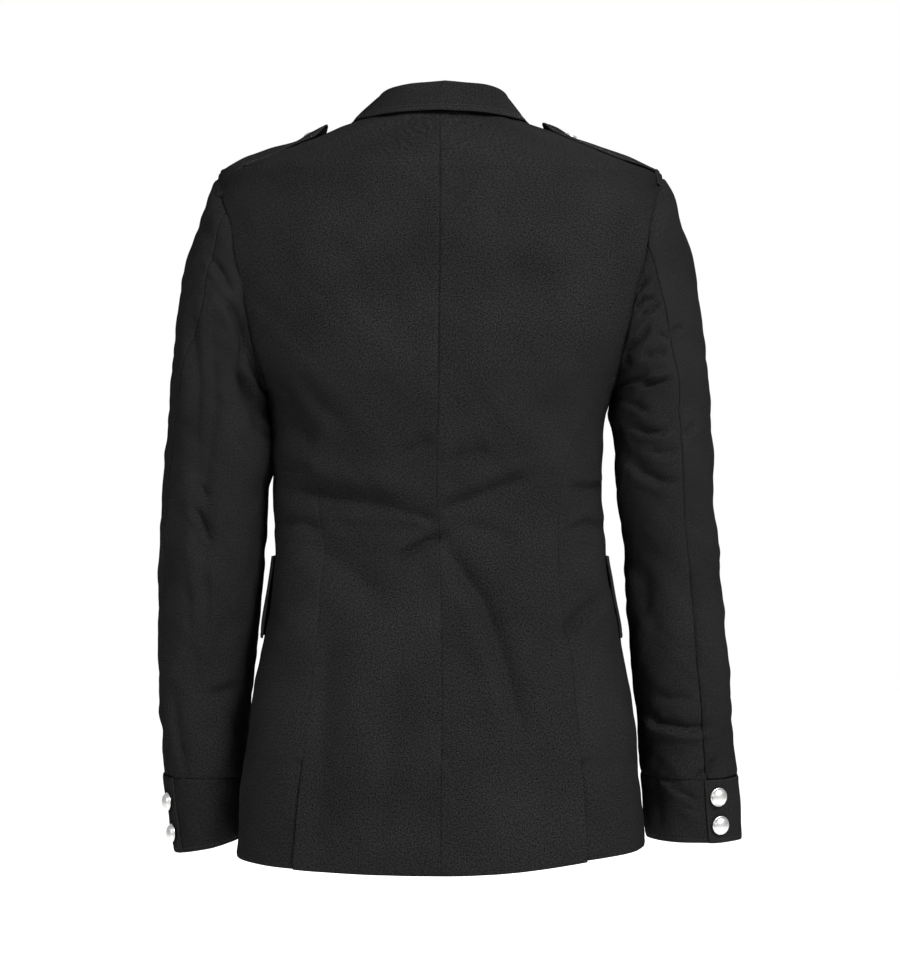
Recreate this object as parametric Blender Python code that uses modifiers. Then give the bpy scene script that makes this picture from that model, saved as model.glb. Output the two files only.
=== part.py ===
"""Military officer coat in black cotton twill, in the hollow form it has when worn.

Units are metres, +Z is up.  The front faces -Y, the back faces +Y and +X is the wearer's left.
The origin is the middle of the neck base, level with the points where collar and shoulders meet.

The body is read from a table of level sections.  A point of it is named by a turn, in degrees,
from the middle of the back (0) over the wearer's left side (90) to the middle of the front (180),
and by a height.  A sleeve has a table of its own, and its turn runs from the side away from the
body (0) over the back (90) to the side next to the body (180).  The armhole is the line where the
body form and the sleeve form meet.
"""
import math

import bmesh
import bpy
from mathutils import Vector

# Cloth and seams
CLOTH = 0.0018
SEAM_GAP = 0.0003
SEAM_PULL = 0.0003
LAYER = CLOTH + 0.0006

# Heights, measured from the neck base
NECK_TOP = -0.0005
SHOULDER_POINT = -0.0565
SEAM_JOIN = -0.2500
ARMHOLE_FLOOR = -0.2650
CUFF_TOP = -0.6400
HEM_BACK = -0.7085
HEM_SIDE = {"left": -0.7050, "right": -0.7000}
HEM_FRONT = -0.6980

# Level sections of the body.  shift moves a section to the wearer's left, and side_y moves its sides
# to the back.
BODY_COLUMNS = ("height", "half_width", "back_depth", "front_depth", "shift", "squareness", "side_y")
BODY_ROWS = (
    (0.0000, 0.0700, 0.0600, 0.0600, 0.0000, 2.3, 0.000),
    (-0.0100, 0.0955, 0.0680, 0.0665, 0.0000, 2.3, 0.000),
    (-0.0200, 0.1220, 0.0735, 0.0730, 0.0000, 2.3, 0.000),
    (-0.0300, 0.1480, 0.0780, 0.0785, 0.0000, 2.3, 0.000),
    (-0.0400, 0.1730, 0.0815, 0.0835, 0.0000, 2.3, 0.000),
    (-0.0565, 0.2125, 0.0860, 0.0905, 0.0000, 2.3, 0.000),
    (-0.0710, 0.2135, 0.0895, 0.0965, 0.0000, 2.3, 0.000),
    (-0.1010, 0.2205, 0.0975, 0.1085, 0.0000, 2.35, 0.000),
    (-0.1350, 0.2190, 0.1060, 0.1185, 0.0000, 2.4, 0.000),
    (-0.1650, 0.2110, 0.1100, 0.1255, 0.0005, 2.4, 0.000),
    (-0.2030, 0.1985, 0.1110, 0.1310, 0.0010, 2.4, 0.000),
    (-0.2330, 0.1835, 0.1100, 0.1330, 0.0010, 2.4, 0.000),
    (-0.2500, 0.1750, 0.1090, 0.1330, 0.0010, 2.4, 0.000),
    (-0.2700, 0.1668, 0.1065, 0.1325, 0.0010, 2.4, 0.000),
    (-0.3000, 0.1612, 0.1010, 0.1300, 0.0020, 2.4, 0.000),
    (-0.3500, 0.1594, 0.0910, 0.1240, 0.0030, 2.4, 0.002),
    (-0.4000, 0.1594, 0.0870, 0.1200, 0.0005, 2.35, 0.006),
    (-0.4500, 0.1622, 0.0940, 0.1210, -0.0010, 2.3, 0.010),
    (-0.5000, 0.1712, 0.1070, 0.1240, -0.0020, 2.3, 0.014),
    (-0.5600, 0.1812, 0.1200, 0.1290, -0.0025, 2.3, 0.019),
    (-0.6200, 0.1885, 0.1280, 0.1330, -0.0015, 2.3, 0.023),
    (-0.7200, 0.1962, 0.1345, 0.1380, -0.0010, 2.3, 0.027),
)

# Seams of the side panel: half-width share that each seam reaches at each height
SIDE_SEAM_COLUMNS = ("height", "back_share", "front_share")
SIDE_SEAM_ROWS = (
    (-0.2500, 0.960, 0.960),
    (-0.2700, 0.895, 0.935),
    (-0.2900, 0.840, 0.915),
    (-0.3200, 0.780, 0.900),
    (-0.3500, 0.740, 0.890),
    (-0.3900, 0.705, 0.885),
    (-0.4400, 0.687, 0.885),
    (-0.5000, 0.688, 0.885),
    (-0.6000, 0.680, 0.885),
    (-0.7200, 0.688, 0.885),
)

# Front edge, lapel roll line and lapel
OVERLAP = 0.0180
BREAK_HEIGHT = -0.3150
ROLL_TOP = -0.0040
ROLL_TOP_X = 0.0660
LAPEL_TOP_INNER = -0.0400
LAPEL_TOP_OUTER = -0.0780
LAPEL_WIDTH = 0.0760
LAPEL_LIFT = CLOTH + 0.0009
LAPEL_CROWN = 0.0025
LAPEL_FOOT = {"left": -0.3110, "right": -0.3020}
UNDERLAP = 2.0 * LAYER + 0.0008

# Level sections of each sleeve.  outer and inner are distances from the middle of the body.
SLEEVE_COLUMNS = ("height", "outer", "inner", "middle", "half_depth")
SLEEVE_ROWS = {
    "left": (
        (-0.0575, 0.2170, 0.1170, 0.0000, 0.0180),
        (-0.0710, 0.2232, 0.1230, 0.0000, 0.0330),
        (-0.1010, 0.2340, 0.1340, 0.0000, 0.0515),
        (-0.1350, 0.2432, 0.1430, 0.0000, 0.0595),
        (-0.1650, 0.2493, 0.1490, 0.0000, 0.0635),
        (-0.2030, 0.2547, 0.1560, 0.0000, 0.0670),
        (-0.2330, 0.2589, 0.1630, 0.0005, 0.0680),
        (-0.2500, 0.2598, 0.1680, 0.0010, 0.0675),
        (-0.2700, 0.2604, 0.1700, 0.0010, 0.0670),
        (-0.3000, 0.2628, 0.1668, 0.0000, 0.0660),
        (-0.3500, 0.2674, 0.1663, -0.0040, 0.0640),
        (-0.4200, 0.2731, 0.1708, -0.0100, 0.0605),
        (-0.4700, 0.2747, 0.1748, -0.0150, 0.0575),
        (-0.5200, 0.2754, 0.1807, -0.0200, 0.0550),
        (-0.5700, 0.2750, 0.1855, -0.0260, 0.0530),
        (-0.6100, 0.2720, 0.1880, -0.0300, 0.0515),
        (-0.6400, 0.2698, 0.1895, -0.0330, 0.0505),
        (-0.7100, 0.2606, 0.1931, -0.0400, 0.0490),
    ),
    "right": (
        (-0.0575, 0.2170, 0.1170, 0.0000, 0.0180),
        (-0.0710, 0.2232, 0.1230, 0.0000, 0.0330),
        (-0.1010, 0.2340, 0.1340, 0.0000, 0.0515),
        (-0.1350, 0.2443, 0.1440, 0.0000, 0.0595),
        (-0.1650, 0.2493, 0.1490, 0.0000, 0.0635),
        (-0.2030, 0.2545, 0.1550, 0.0000, 0.0670),
        (-0.2330, 0.2575, 0.1605, 0.0005, 0.0680),
        (-0.2500, 0.2592, 0.1655, 0.0010, 0.0675),
        (-0.2700, 0.2602, 0.1680, 0.0010, 0.0670),
        (-0.3000, 0.2624, 0.1680, 0.0000, 0.0660),
        (-0.3500, 0.2643, 0.1714, -0.0030, 0.0640),
        (-0.4200, 0.2700, 0.1787, -0.0080, 0.0600),
        (-0.4700, 0.2759, 0.1819, -0.0120, 0.0570),
        (-0.5200, 0.2804, 0.1860, -0.0160, 0.0545),
        (-0.5700, 0.2845, 0.1918, -0.0210, 0.0520),
        (-0.6100, 0.2877, 0.1956, -0.0250, 0.0505),
        (-0.6400, 0.2907, 0.1977, -0.0280, 0.0495),
        (-0.7100, 0.2968, 0.2031, -0.0340, 0.0490),
    ),
}
SLEEVE_SQUARENESS = 2.2

# Turn of the seam down the back of each sleeve: the left arm is turned outwards
SLEEVE_SEAM_COLUMNS = ("height", "turn")
SLEEVE_SEAM_ROWS = {
    "left": ((-0.127, 88.0), (-0.170, 70.0), (-0.235, 54.0), (-0.277, 46.0), (-0.318, 40.0), (-0.365, 36.0),
             (-0.520, 30.0), (-0.640, 36.0)),
    "right": ((-0.127, 88.0), (-0.160, 83.0), (-0.235, 79.0), (-0.277, 78.0), (-0.640, 76.0)),
}
TOP_SLEEVE_SWEEP = 172.0

# Cuff band: it laps over itself, and its free edge carries two buttons
CUFF_LAP = 46.0
CUFF_EDGE_TURN = {"left": 49.0, "right": 80.0}
CUFF_BOTTOM_OUTER = {"left": -0.7110, "right": -0.7020}
CUFF_BOTTOM_INNER = {"left": -0.6990, "right": -0.6990}
CUFF_BUTTON_HEIGHTS = {"left": (-0.6620, -0.6930), "right": (-0.6565, -0.6835)}
CUFF_BUTTON_INSET = 14.0

# Collar, for one half: base is where the stand is sewn, seen from the neck edge.  The fold leans in
# over the neck by fold_in, and the whole fold leans to the wearer's right.
COLLAR_COLUMNS = ("along", "x", "y", "z", "fold_up", "fold_in", "fall_out", "fall_drop")
COLLAR_ROWS = (
    (0.00, 0.0000, 0.0592, 0.0000, 0.0275, 0.0060, 0.0135, 0.0075),
    (0.20, 0.0330, 0.0545, 0.0000, 0.0265, 0.0065, 0.0140, 0.0070),
    (0.40, 0.0590, 0.0360, 0.0000, 0.0245, 0.0100, 0.0150, 0.0030),
    (0.55, 0.0690, 0.0100, 0.0000, 0.0210, 0.0120, 0.0150, 0.0000),
    (0.70, 0.0683, -0.0200, 0.0000, 0.0180, 0.0110, 0.0200, 0.0005),
    (0.85, 0.0655, -0.0465, -0.0070, 0.0145, 0.0070, 0.0290, 0.0055),
    (1.00, 0.0592, -0.0728, -0.0285, 0.0095, 0.0030, 0.0400, 0.0080),
)
COLLAR_FOLD_WIDTH = 0.0056
COLLAR_LEAN = 0.0050

# Shoulder straps
STRAP_BASE_X = 0.2080
STRAP_TIP_X = 0.1090
STRAP_WIDTH_BASE = 0.0500
STRAP_WIDTH_TIP = 0.0400
STRAP_POINT = 0.0150
STRAP_LIFT = CLOTH + 0.0003
STRAP_TIP_LIFT = 0.0080
STRAP_BUTTON_X = 0.1230
STRAP_CROSS_DROP = 0.0060
STRAP_SHIFT = 0.0080

# Hip pocket flaps
FLAP_TOP = -0.4230
FLAP_BOTTOM = -0.5000
FLAP_BACK_TURN = 80.0
FLAP_FRONT_TURN = 141.0
FLAP_TOP_LIFT = CLOTH + 0.0008
FLAP_BOTTOM_LIFT = 0.0090

# Domed metal buttons
BUTTON_RADIUS = 0.0090
BUTTON_HEIGHT = 0.0062
STRAP_BUTTON_RADIUS = 0.0078
BUTTON_SIDES = 12
FRONT_BUTTON_HEIGHTS = (-0.3300, -0.4080, -0.4860, -0.5640)
BUTTON_GAP = 0.0003

# Largest folds of the back, as soft troughs between two places on it (x and height)
FOLD_COLUMNS = ("x1", "z1", "x2", "z2", "width", "depth")
BACK_FOLDS = (
    (0.002, -0.402, 0.036, -0.418, 0.009, 0.0040),
    (-0.001, -0.408, -0.039, -0.460, 0.011, 0.0050),
    (-0.039, -0.460, -0.077, -0.596, 0.016, 0.0045),
    (0.137, -0.357, 0.056, -0.372, 0.013, 0.0045),
    (-0.008, -0.372, -0.070, -0.352, 0.013, 0.0040),
    (-0.142, -0.466, -0.116, -0.492, 0.010, 0.0040),
)
WAIST_TUCK_HEIGHT = -0.400
WAIST_TUCK_WIDTH = 0.030
WAIST_TUCK_DEPTH = 0.0060

# Largest folds of the sleeves, as troughs between two places on them (turn and height)
SLEEVE_FOLD_COLUMNS = ("turn1", "z1", "turn2", "z2", "width", "depth")
SLEEVE_FOLDS = {
    "left": (
        (60.0, -0.140, 88.0, -0.215, 0.012, 0.0045),
        (92.0, -0.235, 120.0, -0.300, 0.012, 0.0045),
        (62.0, -0.300, 70.0, -0.400, 0.014, 0.0035),
        (50.0, -0.440, 58.0, -0.560, 0.014, 0.0040),
        (-60.0, -0.250, -95.0, -0.300, 0.012, 0.0040),
        (-80.0, -0.380, -120.0, -0.420, 0.013, 0.0040),
        (-40.0, -0.580, -100.0, -0.600, 0.012, 0.0035),
    ),
    "right": (
        (100.0, -0.195, 78.0, -0.180, 0.010, 0.0040),
        (112.0, -0.230, 84.0, -0.205, 0.010, 0.0045),
        (110.0, -0.262, 70.0, -0.252, 0.010, 0.0050),
        (128.0, -0.265, 88.0, -0.298, 0.010, 0.0045),
        (130.0, -0.330, 100.0, -0.345, 0.011, 0.0040),
        (125.0, -0.572, 68.0, -0.592, 0.012, 0.0040),
        (-60.0, -0.250, -95.0, -0.290, 0.012, 0.0040),
        (-80.0, -0.370, -125.0, -0.410, 0.013, 0.0040),
    ),
}

# Rows of cells below the seam joins, beside the armhole and over the shoulder
LOWER_ROWS = 13
ARMHOLE_ROWS = 8
SHOULDER_ROWS = 5

# Cells of each piece, across and along
GRIDS = {
    "back": (10, LOWER_ROWS + ARMHOLE_ROWS + SHOULDER_ROWS),
    "side": (6, LOWER_ROWS),
    "front": (9, LOWER_ROWS + ARMHOLE_ROWS + SHOULDER_ROWS),
    "lapel": (4, 8),
    "top_sleeve": (9, 20),
    "under_sleeve": (8, 17),
    "cuff": (26, 2),
    "collar": (28, 7),
    "epaulette": (4, 7),
    "hip_flap": (6, 3),
}

TWILL_COLOUR = (0.018, 0.018, 0.019, 1.0)
SILVER_COLOUR = (0.62, 0.62, 0.61, 1.0)
SIDES = {"left": 1.0, "right": -1.0}


def blend(start, end, share):
    """Return the value that lies at a share of the way from start to end."""
    return start + (end - start) * share


def ease(share):
    """Return a share between 0 and 1 with soft ends."""
    share = min(max(share, 0.0), 1.0)
    return share * share * (3.0 - 2.0 * share)


def power(value, exponent):
    """Raise the size of a value to an exponent and keep its sign."""
    return math.copysign(abs(value) ** exponent, value)


def read_table(columns, rows, column, at):
    """Read one column of a table at a place between its rows, on a smooth curve without overshoot."""
    place = columns.index(column)
    falling = rows[0][0] > rows[-1][0]
    keys = [-row[0] if falling else row[0] for row in rows]
    values = [row[place] for row in rows]
    at = -at if falling else at
    at = min(max(at, keys[0]), keys[-1])
    last = len(keys) - 1
    index = next(i for i in range(last) if at <= keys[i + 1])
    slopes = [(values[i + 1] - values[i]) / (keys[i + 1] - keys[i]) for i in range(last)]

    def tangent(i):
        if i == 0:
            return slopes[0]
        if i == last:
            return slopes[-1]
        before, after = slopes[i - 1], slopes[i]
        if before * after <= 0.0:
            return 0.0
        return 2.0 * before * after / (before + after)

    span = keys[index + 1] - keys[index]
    t = (at - keys[index]) / span
    start = values[index] * (1 + 2 * t) * (1 - t) ** 2 + tangent(index) * span * t * (1 - t) ** 2
    end = values[index + 1] * t * t * (3 - 2 * t) + tangent(index + 1) * span * t * t * (t - 1)
    return start + end


def body(column, height):
    """Read one column of the body's table."""
    return read_table(BODY_COLUMNS, BODY_ROWS, column, height)


def trough(folds, first, second, scale=1.0):
    """Return how deep the folds lie at a place given by two coordinates."""
    depth = 0.0
    for a1, b1, a2, b2, width, fold_depth in folds:
        run_a, run_b = (a2 - a1) * scale, b2 - b1
        off_a, off_b = (first - a1) * scale, second - b1
        length = run_a * run_a + run_b * run_b
        share = min(max((off_a * run_a + off_b * run_b) / length, 0.0), 1.0)
        gap = math.hypot(off_a - share * run_a, off_b - share * run_b)
        taper = 0.35 + 0.65 * math.sin(math.pi * (0.15 + 0.7 * share))
        depth += fold_depth * taper * math.exp(-((gap / width) ** 2))
    return depth


def body_point(turn, height, out=0.0, folded=True):
    """Return a point of the body form, moved out along its level normal."""
    half_width = body("half_width", height)
    squareness = body("squareness", height)
    angle = math.radians(turn)
    depth = body("back_depth" if math.cos(angle) > 0.0 else "front_depth", height)
    x = half_width * power(math.sin(angle), 2.0 / squareness)
    y = depth * power(math.cos(angle), 2.0 / squareness)
    normal = Vector((
        power(x / half_width, squareness - 1.0) / half_width,
        power(y / depth, squareness - 1.0) / depth,
        0.0,
    )).normalized()
    if folded and y > 0.0:
        out -= trough(BACK_FOLDS, x, height) * ease(y / 0.05)
        tuck = math.exp(-((x / WAIST_TUCK_WIDTH) ** 2) - ((height - WAIST_TUCK_HEIGHT) / WAIST_TUCK_WIDTH) ** 2)
        out -= WAIST_TUCK_DEPTH * tuck
    y += body("side_y", height) * (x / half_width) ** 2
    return Vector((x + body("shift", height), y, height)) + normal * out


def turn_at_share(share, height, front=False):
    """Return the turn where the body reaches a share of its half-width."""
    squareness = body("squareness", height)
    turn = math.degrees(math.asin(power(min(max(share, -1.0), 1.0), squareness / 2.0)))
    return 180.0 - turn if front else turn


def sleeve(side, column, height):
    """Read one column of a sleeve's table."""
    return read_table(SLEEVE_COLUMNS, SLEEVE_ROWS[side], column, height)


def sleeve_ring(side, height):
    """Return middle x, middle y, half-width and half-depth of a sleeve's level section."""
    outer = sleeve(side, "outer", height)
    inner = sleeve(side, "inner", height)
    return (outer + inner) / 2.0, sleeve(side, "middle", height), (outer - inner) / 2.0, sleeve(
        side, "half_depth", height)


def sleeve_point(side, turn, height, out=0.0):
    """Return a point of a sleeve form, moved out along its level normal."""
    middle_x, middle_y, half_width, half_depth = sleeve_ring(side, height)
    angle = math.radians(turn)
    across = power(math.cos(angle), 2.0 / SLEEVE_SQUARENESS)
    deep = power(math.sin(angle), 2.0 / SLEEVE_SQUARENESS)
    normal = Vector((
        power(across, SLEEVE_SQUARENESS - 1.0) / half_width,
        power(deep, SLEEVE_SQUARENESS - 1.0) / half_depth,
        0.0,
    )).normalized()
    turned = (turn + 180.0) % 360.0 - 180.0
    out -= trough(SLEEVE_FOLDS[side], turned, height, scale=0.00095)
    point = Vector((middle_x + half_width * across, middle_y + half_depth * deep, height)) + normal * out
    point.x *= SIDES[side]
    return point


def armhole(side, height, back):
    """Return the body's turn and the sleeve's turn where both forms meet at a height."""
    middle_x, middle_y, half_width, half_depth = sleeve_ring(side, height)
    low, high = (0.0, 90.0) if back else (180.0, 90.0)
    for _ in range(40):
        turn = (low + high) / 2.0
        point = body_point(turn * SIDES[side], height, folded=False)
        across = (point.x * SIDES[side] - middle_x) / half_width
        deep = (point.y - middle_y) / half_depth
        if abs(across) ** SLEEVE_SQUARENESS + abs(deep) ** SLEEVE_SQUARENESS > 1.0:
            low = turn
        else:
            high = turn
    across = min(max(across, -1.0), 1.0)
    sleeve_turn = math.degrees(math.acos(power(across, SLEEVE_SQUARENESS / 2.0)))
    return turn, sleeve_turn


def shoulder_height(x, y):
    """Return the height of the body form over a level place near the shoulder."""
    low, high = -0.20, 0.0
    for _ in range(40):
        height = (low + high) / 2.0
        squareness = body("squareness", height)
        depth = body("back_depth" if y > 0.0 else "front_depth", height)
        reach = (abs(x) / body("half_width", height)) ** squareness + (abs(y) / depth) ** squareness
        if reach > 1.0:
            high = height
        else:
            low = height
    return height


def new_material(name, colour, roughness, metallic):
    """Make a Principled material."""
    material = bpy.data.materials.new(name)
    material.use_nodes = True
    shader = material.node_tree.nodes["Principled BSDF"]
    shader.inputs["Base Color"].default_value = colour
    shader.inputs["Roughness"].default_value = roughness
    shader.inputs["Metallic"].default_value = metallic
    material.diffuse_color = colour
    return material


def cloth_piece(name, grid, shape, flipped=False, thickness=CLOTH):
    """Make a cut piece: a grid whose points follow shape(u, v), with a wall on its inner side."""
    columns, rows = grid
    mesh = bmesh.new()
    bmesh.ops.create_grid(mesh, x_segments=columns, y_segments=rows, size=1.0)
    for vertex in mesh.verts:
        u = (vertex.co.x + 1.0) / 2.0
        v = (vertex.co.y + 1.0) / 2.0
        vertex.co = shape(u, v)
    if flipped:
        bmesh.ops.reverse_faces(mesh, faces=mesh.faces)
    data = bpy.data.meshes.new(name)
    mesh.to_mesh(data)
    mesh.free()
    data.shade_smooth()
    piece = bpy.data.objects.new(name, data)
    coat.objects.link(piece)
    data.materials.append(new_material(name + "_twill", TWILL_COLOUR, 0.85, 0.0))
    wall = piece.modifiers.new("wall", "SOLIDIFY")
    wall.thickness = thickness
    wall.offset = -1.0
    wall.use_even_offset = False
    return piece


def row_height(v, bottom):
    """Spread the rows of back and front: hem to seam join, armhole, then shoulder."""
    row = v * (LOWER_ROWS + ARMHOLE_ROWS + SHOULDER_ROWS)
    if row <= LOWER_ROWS:
        share = row / LOWER_ROWS
        return blend(blend(HEM_BACK, SEAM_JOIN, share), blend(bottom, SEAM_JOIN, share), (1.0 - share) ** 3)
    row -= LOWER_ROWS
    if row <= ARMHOLE_ROWS:
        return blend(SEAM_JOIN, SHOULDER_POINT, row / ARMHOLE_ROWS)
    return blend(SHOULDER_POINT, NECK_TOP, (row - ARMHOLE_ROWS) / SHOULDER_ROWS)


def hem_height(side_name, turn):
    """Return the height of the hem at a turn."""
    if turn < 90.0:
        return blend(HEM_BACK, HEM_SIDE[side_name], ease(turn / 90.0))
    return blend(HEM_SIDE[side_name], HEM_FRONT, ease((turn - 90.0) / 90.0))


def edge_turn(turn, height, pull):
    """Move a seam edge along the body by a distance, given as a turn."""
    step = 0.2
    here = body_point(turn, height, folded=False)
    near = body_point(turn + step, height, folded=False)
    return turn + pull * step / max((near - here).length, 0.0001)


def side_seam_turn(height, back):
    """Return the turn of the seam between the side panel and the back or the front."""
    column = "back_share" if back else "front_share"
    share = read_table(SIDE_SEAM_COLUMNS, SIDE_SEAM_ROWS, column, height)
    return turn_at_share(share, height, front=not back)


def outer_turn(side_name, height, back):
    """Return the turn of a panel's outer edge: side seam, armhole or shoulder seam."""
    pull = -SEAM_PULL if back else SEAM_PULL
    if height > SHOULDER_POINT - 0.0005:
        share = SEAM_PULL / body("back_depth", height)
        off_ridge = math.degrees(math.asin(share ** (body("squareness", height) / 2.0)))
        return 90.0 - off_ridge if back else 90.0 + off_ridge
    if height <= SEAM_JOIN:
        return edge_turn(side_seam_turn(height, back), height, pull)
    widened = 1.5 + (2.5 if back else 7.5) * ease((height + 0.115) / 0.045)
    return edge_turn(armhole(side_name, height, back)[0], height, pull * widened)


def make_back(side_name):
    """Back panel: centre back seam to side seam, armhole and shoulder."""
    sign = SIDES[side_name]

    def shape(u, v):
        height = row_height(v, hem_height(side_name, 60.0 * u))
        inner = turn_at_share(SEAM_PULL / body("half_width", height), height)
        outer = outer_turn(side_name, height, True)
        return body_point(blend(inner, outer, u) * sign, height)

    return cloth_piece("back_" + side_name, GRIDS["back"], shape, flipped=sign > 0.0)


def side_top(side_name, u):
    """Return the height of a side panel's upper edge, the floor of the armhole."""
    low, high = ARMHOLE_FLOOR, SEAM_JOIN
    for _ in range(24):
        height = (low + high) / 2.0
        turn = blend(side_seam_turn(height, True), side_seam_turn(height, False), u)
        back = turn < 90.0
        edge = armhole(side_name, height, back)[0]
        if (turn < edge) if back else (turn > edge):
            low = height
        elif abs(edge - 90.0) < 0.5:
            low = height
        else:
            high = height
    return height - 0.0008


def make_side(side_name):
    """Side panel under the arm, from the side back seam to the side front seam."""
    sign = SIDES[side_name]
    columns = GRIDS["side"][0]
    tops = [side_top(side_name, column / columns) for column in range(columns + 1)]
    tops[0] = tops[-1] = SEAM_JOIN

    def shape(u, v):
        bottom = hem_height(side_name, blend(60.0, 120.0, u))
        plain = row_height(v * LOWER_ROWS / (LOWER_ROWS + ARMHOLE_ROWS + SHOULDER_ROWS), bottom)
        height = plain + (tops[round(u * columns)] - SEAM_JOIN) * v ** 4
        start = edge_turn(side_seam_turn(height, True), height, SEAM_PULL)
        end = edge_turn(side_seam_turn(height, False), height, -SEAM_PULL)
        return body_point(blend(start, end, u) * sign, height)

    return cloth_piece("side_" + side_name, GRIDS["side"], shape, flipped=sign > 0.0)


def roll_x(height):
    """Return how far a front edge lies on its own side of the middle: negative past the middle."""
    if height <= BREAK_HEIGHT:
        return -OVERLAP
    share = (height - BREAK_HEIGHT) / (ROLL_TOP - BREAK_HEIGHT)
    return blend(-OVERLAP, ROLL_TOP_X, min(share, 1.0))


def front_turn(across_x, height):
    """Return the turn of a place on a front by its distance from the middle."""
    return turn_at_share(min(across_x / body("half_width", height), 0.955), height, front=True)


def front_point(side_name, turn, height, out=0.0):
    """Return a point of a front; by the front edge the right front lies under the left one."""
    point = body_point(turn * SIDES[side_name], height, out)
    if side_name == "right":
        across_x = -(point.x - body("shift", height))
        point.y += UNDERLAP * ease((0.060 - across_x) / 0.030) * ease((-0.110 - height) / 0.070)
    return point


def make_front(side_name):
    """Front panel: side front seam, armhole and shoulder to the front edge and roll line."""
    sign = SIDES[side_name]

    def shape(u, v):
        height = row_height(v, hem_height(side_name, blend(120.0, 180.0, u)))
        outer = outer_turn(side_name, height, False)
        inner = front_turn(roll_x(height), height)
        return front_point(side_name, blend(outer, inner, u), height)

    return cloth_piece("front_" + side_name, GRIDS["front"], shape, flipped=sign > 0.0)


def make_lapel(side_name):
    """Lapel, lying on the front outside its roll line."""
    sign = SIDES[side_name]

    def shape(u, v):
        top = blend(LAPEL_TOP_INNER, LAPEL_TOP_OUTER, u)
        height = blend(LAPEL_FOOT[side_name], top, v)
        way = (height - BREAK_HEIGHT) / (LAPEL_TOP_OUTER - BREAK_HEIGHT)
        width = LAPEL_WIDTH * ease(0.08 + 0.92 * min(way, 1.0)) ** 0.7
        across_x = roll_x(height) + 0.001 + u * width
        crown = LAPEL_CROWN * math.sin(math.pi * min(u + 0.05, 1.0)) * (1.0 - 0.6 * u)
        crown *= ease((height - BREAK_HEIGHT - 0.060) / 0.060)
        return front_point(side_name, front_turn(across_x, height), height, LAPEL_LIFT + crown)

    return cloth_piece("lapel_" + side_name, GRIDS["lapel"], shape, flipped=sign < 0.0)


def sleeve_seam_turn(side_name, height):
    """Return the turn of the back seam of a sleeve."""
    return read_table(SLEEVE_SEAM_COLUMNS, SLEEVE_SEAM_ROWS[side_name], "turn", height)


def sleeve_top(side_name, turn_at):
    """Return the height where a line down the sleeve leaves the armhole."""
    low, high = ARMHOLE_FLOOR, SHOULDER_POINT - 0.001
    for _ in range(28):
        height = (low + high) / 2.0
        turn = (turn_at(height) + 180.0) % 360.0 - 180.0
        edge = armhole(side_name, height, turn > 0.0)[1]
        if edge >= abs(turn):
            low = height
        else:
            high = height
    return height - 0.0008 - 0.0012 * ease((height + 0.090) / 0.015)


def make_sleeve(side_name, part_name, start_offset, end_offset, flipped):
    """Cut piece of a sleeve between two lines, each given as degrees from the back seam."""
    grid = GRIDS[part_name]
    tops = {}

    def turn_of(u, height):
        return sleeve_seam_turn(side_name, height) + blend(start_offset, end_offset, u)

    def shape(u, v):
        column = round(u * grid[0])
        if column not in tops:
            tops[column] = sleeve_top(side_name, lambda height: turn_of(u, height))
        height = blend(CUFF_TOP, tops[column], 1.0 - (1.0 - v) ** 1.15)
        return sleeve_point(side_name, turn_of(u, height), height)

    return cloth_piece(part_name + "_" + side_name, grid, shape, flipped=flipped)


def cuff_bottom(side_name, turn):
    """Return the height of the cuff's lower edge at a turn."""
    share = 0.5 + 0.5 * math.cos(math.radians(turn))
    return blend(CUFF_BOTTOM_INNER[side_name], CUFF_BOTTOM_OUTER[side_name], share)


def cuff_lift(turned_by):
    """Return how far the band stands out after a part of its wrap, so that its end laps over its start."""
    return LAYER * ease((turned_by - 300.0) / 60.0)


def make_cuff(side_name):
    """Cuff band, wrapped once round the wrist and lapped under its buttons."""
    sweep = 360.0 + CUFF_LAP
    start = CUFF_EDGE_TURN[side_name] - CUFF_LAP

    def shape(u, v):
        turned_by = sweep * u
        turn = start + turned_by
        height = blend(cuff_bottom(side_name, turn), CUFF_TOP - SEAM_GAP, v)
        return sleeve_point(side_name, turn, height, cuff_lift(turned_by))

    return cloth_piece("cuff_" + side_name, GRIDS["cuff"], shape, flipped=SIDES[side_name] < 0.0)


def collar_value(column, along):
    """Read one column of the collar's table."""
    return read_table(COLLAR_COLUMNS, COLLAR_ROWS, column, along)


def collar_point(u, v):
    """Return a point of the collar: u runs from its left end round the back, v from seam over fold to edge."""
    along = abs(2.0 * u - 1.0)
    sign = 1.0 if u < 0.5 else -1.0
    step = 0.01
    here = Vector((collar_value("x", along), collar_value("y", along), 0.0))
    near = Vector((collar_value("x", along - step), collar_value("y", along - step), 0.0))
    if along < step:
        outward = Vector((0.0, 1.0, 0.0))
    else:
        run = (here - near).normalized()
        outward = Vector((-run.y, run.x, 0.0))
    fold_up = collar_value("fold_up", along)
    fold_in = collar_value("fold_in", along)
    fall_out = collar_value("fall_out", along)
    fall_drop = collar_value("fall_drop", along)
    if v < 0.40:
        share = v / 0.40
        out = -CLOTH - SEAM_GAP - fold_in * math.sin(math.pi / 2.0 * share)
        up = (fold_up - COLLAR_FOLD_WIDTH / 2.0) * share
    elif v < 0.62:
        bend = math.pi * (v - 0.40) / 0.22
        radius = COLLAR_FOLD_WIDTH / 2.0
        out = -CLOTH - SEAM_GAP - fold_in + radius * (1.0 - math.cos(bend))
        up = fold_up - radius + radius * math.sin(bend)
    else:
        share = (v - 0.62) / 0.38
        out_start = -CLOTH - SEAM_GAP - fold_in + COLLAR_FOLD_WIDTH
        out = blend(out_start, fall_out, share)
        up = blend(fold_up - COLLAR_FOLD_WIDTH / 2.0, -fall_drop, share ** 1.15)
    point = here + outward * out
    point.z = collar_value("z", along) + up
    point.x *= sign
    point.x -= COLLAR_LEAN * max(up, 0.0) / 0.0275
    return point


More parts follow.
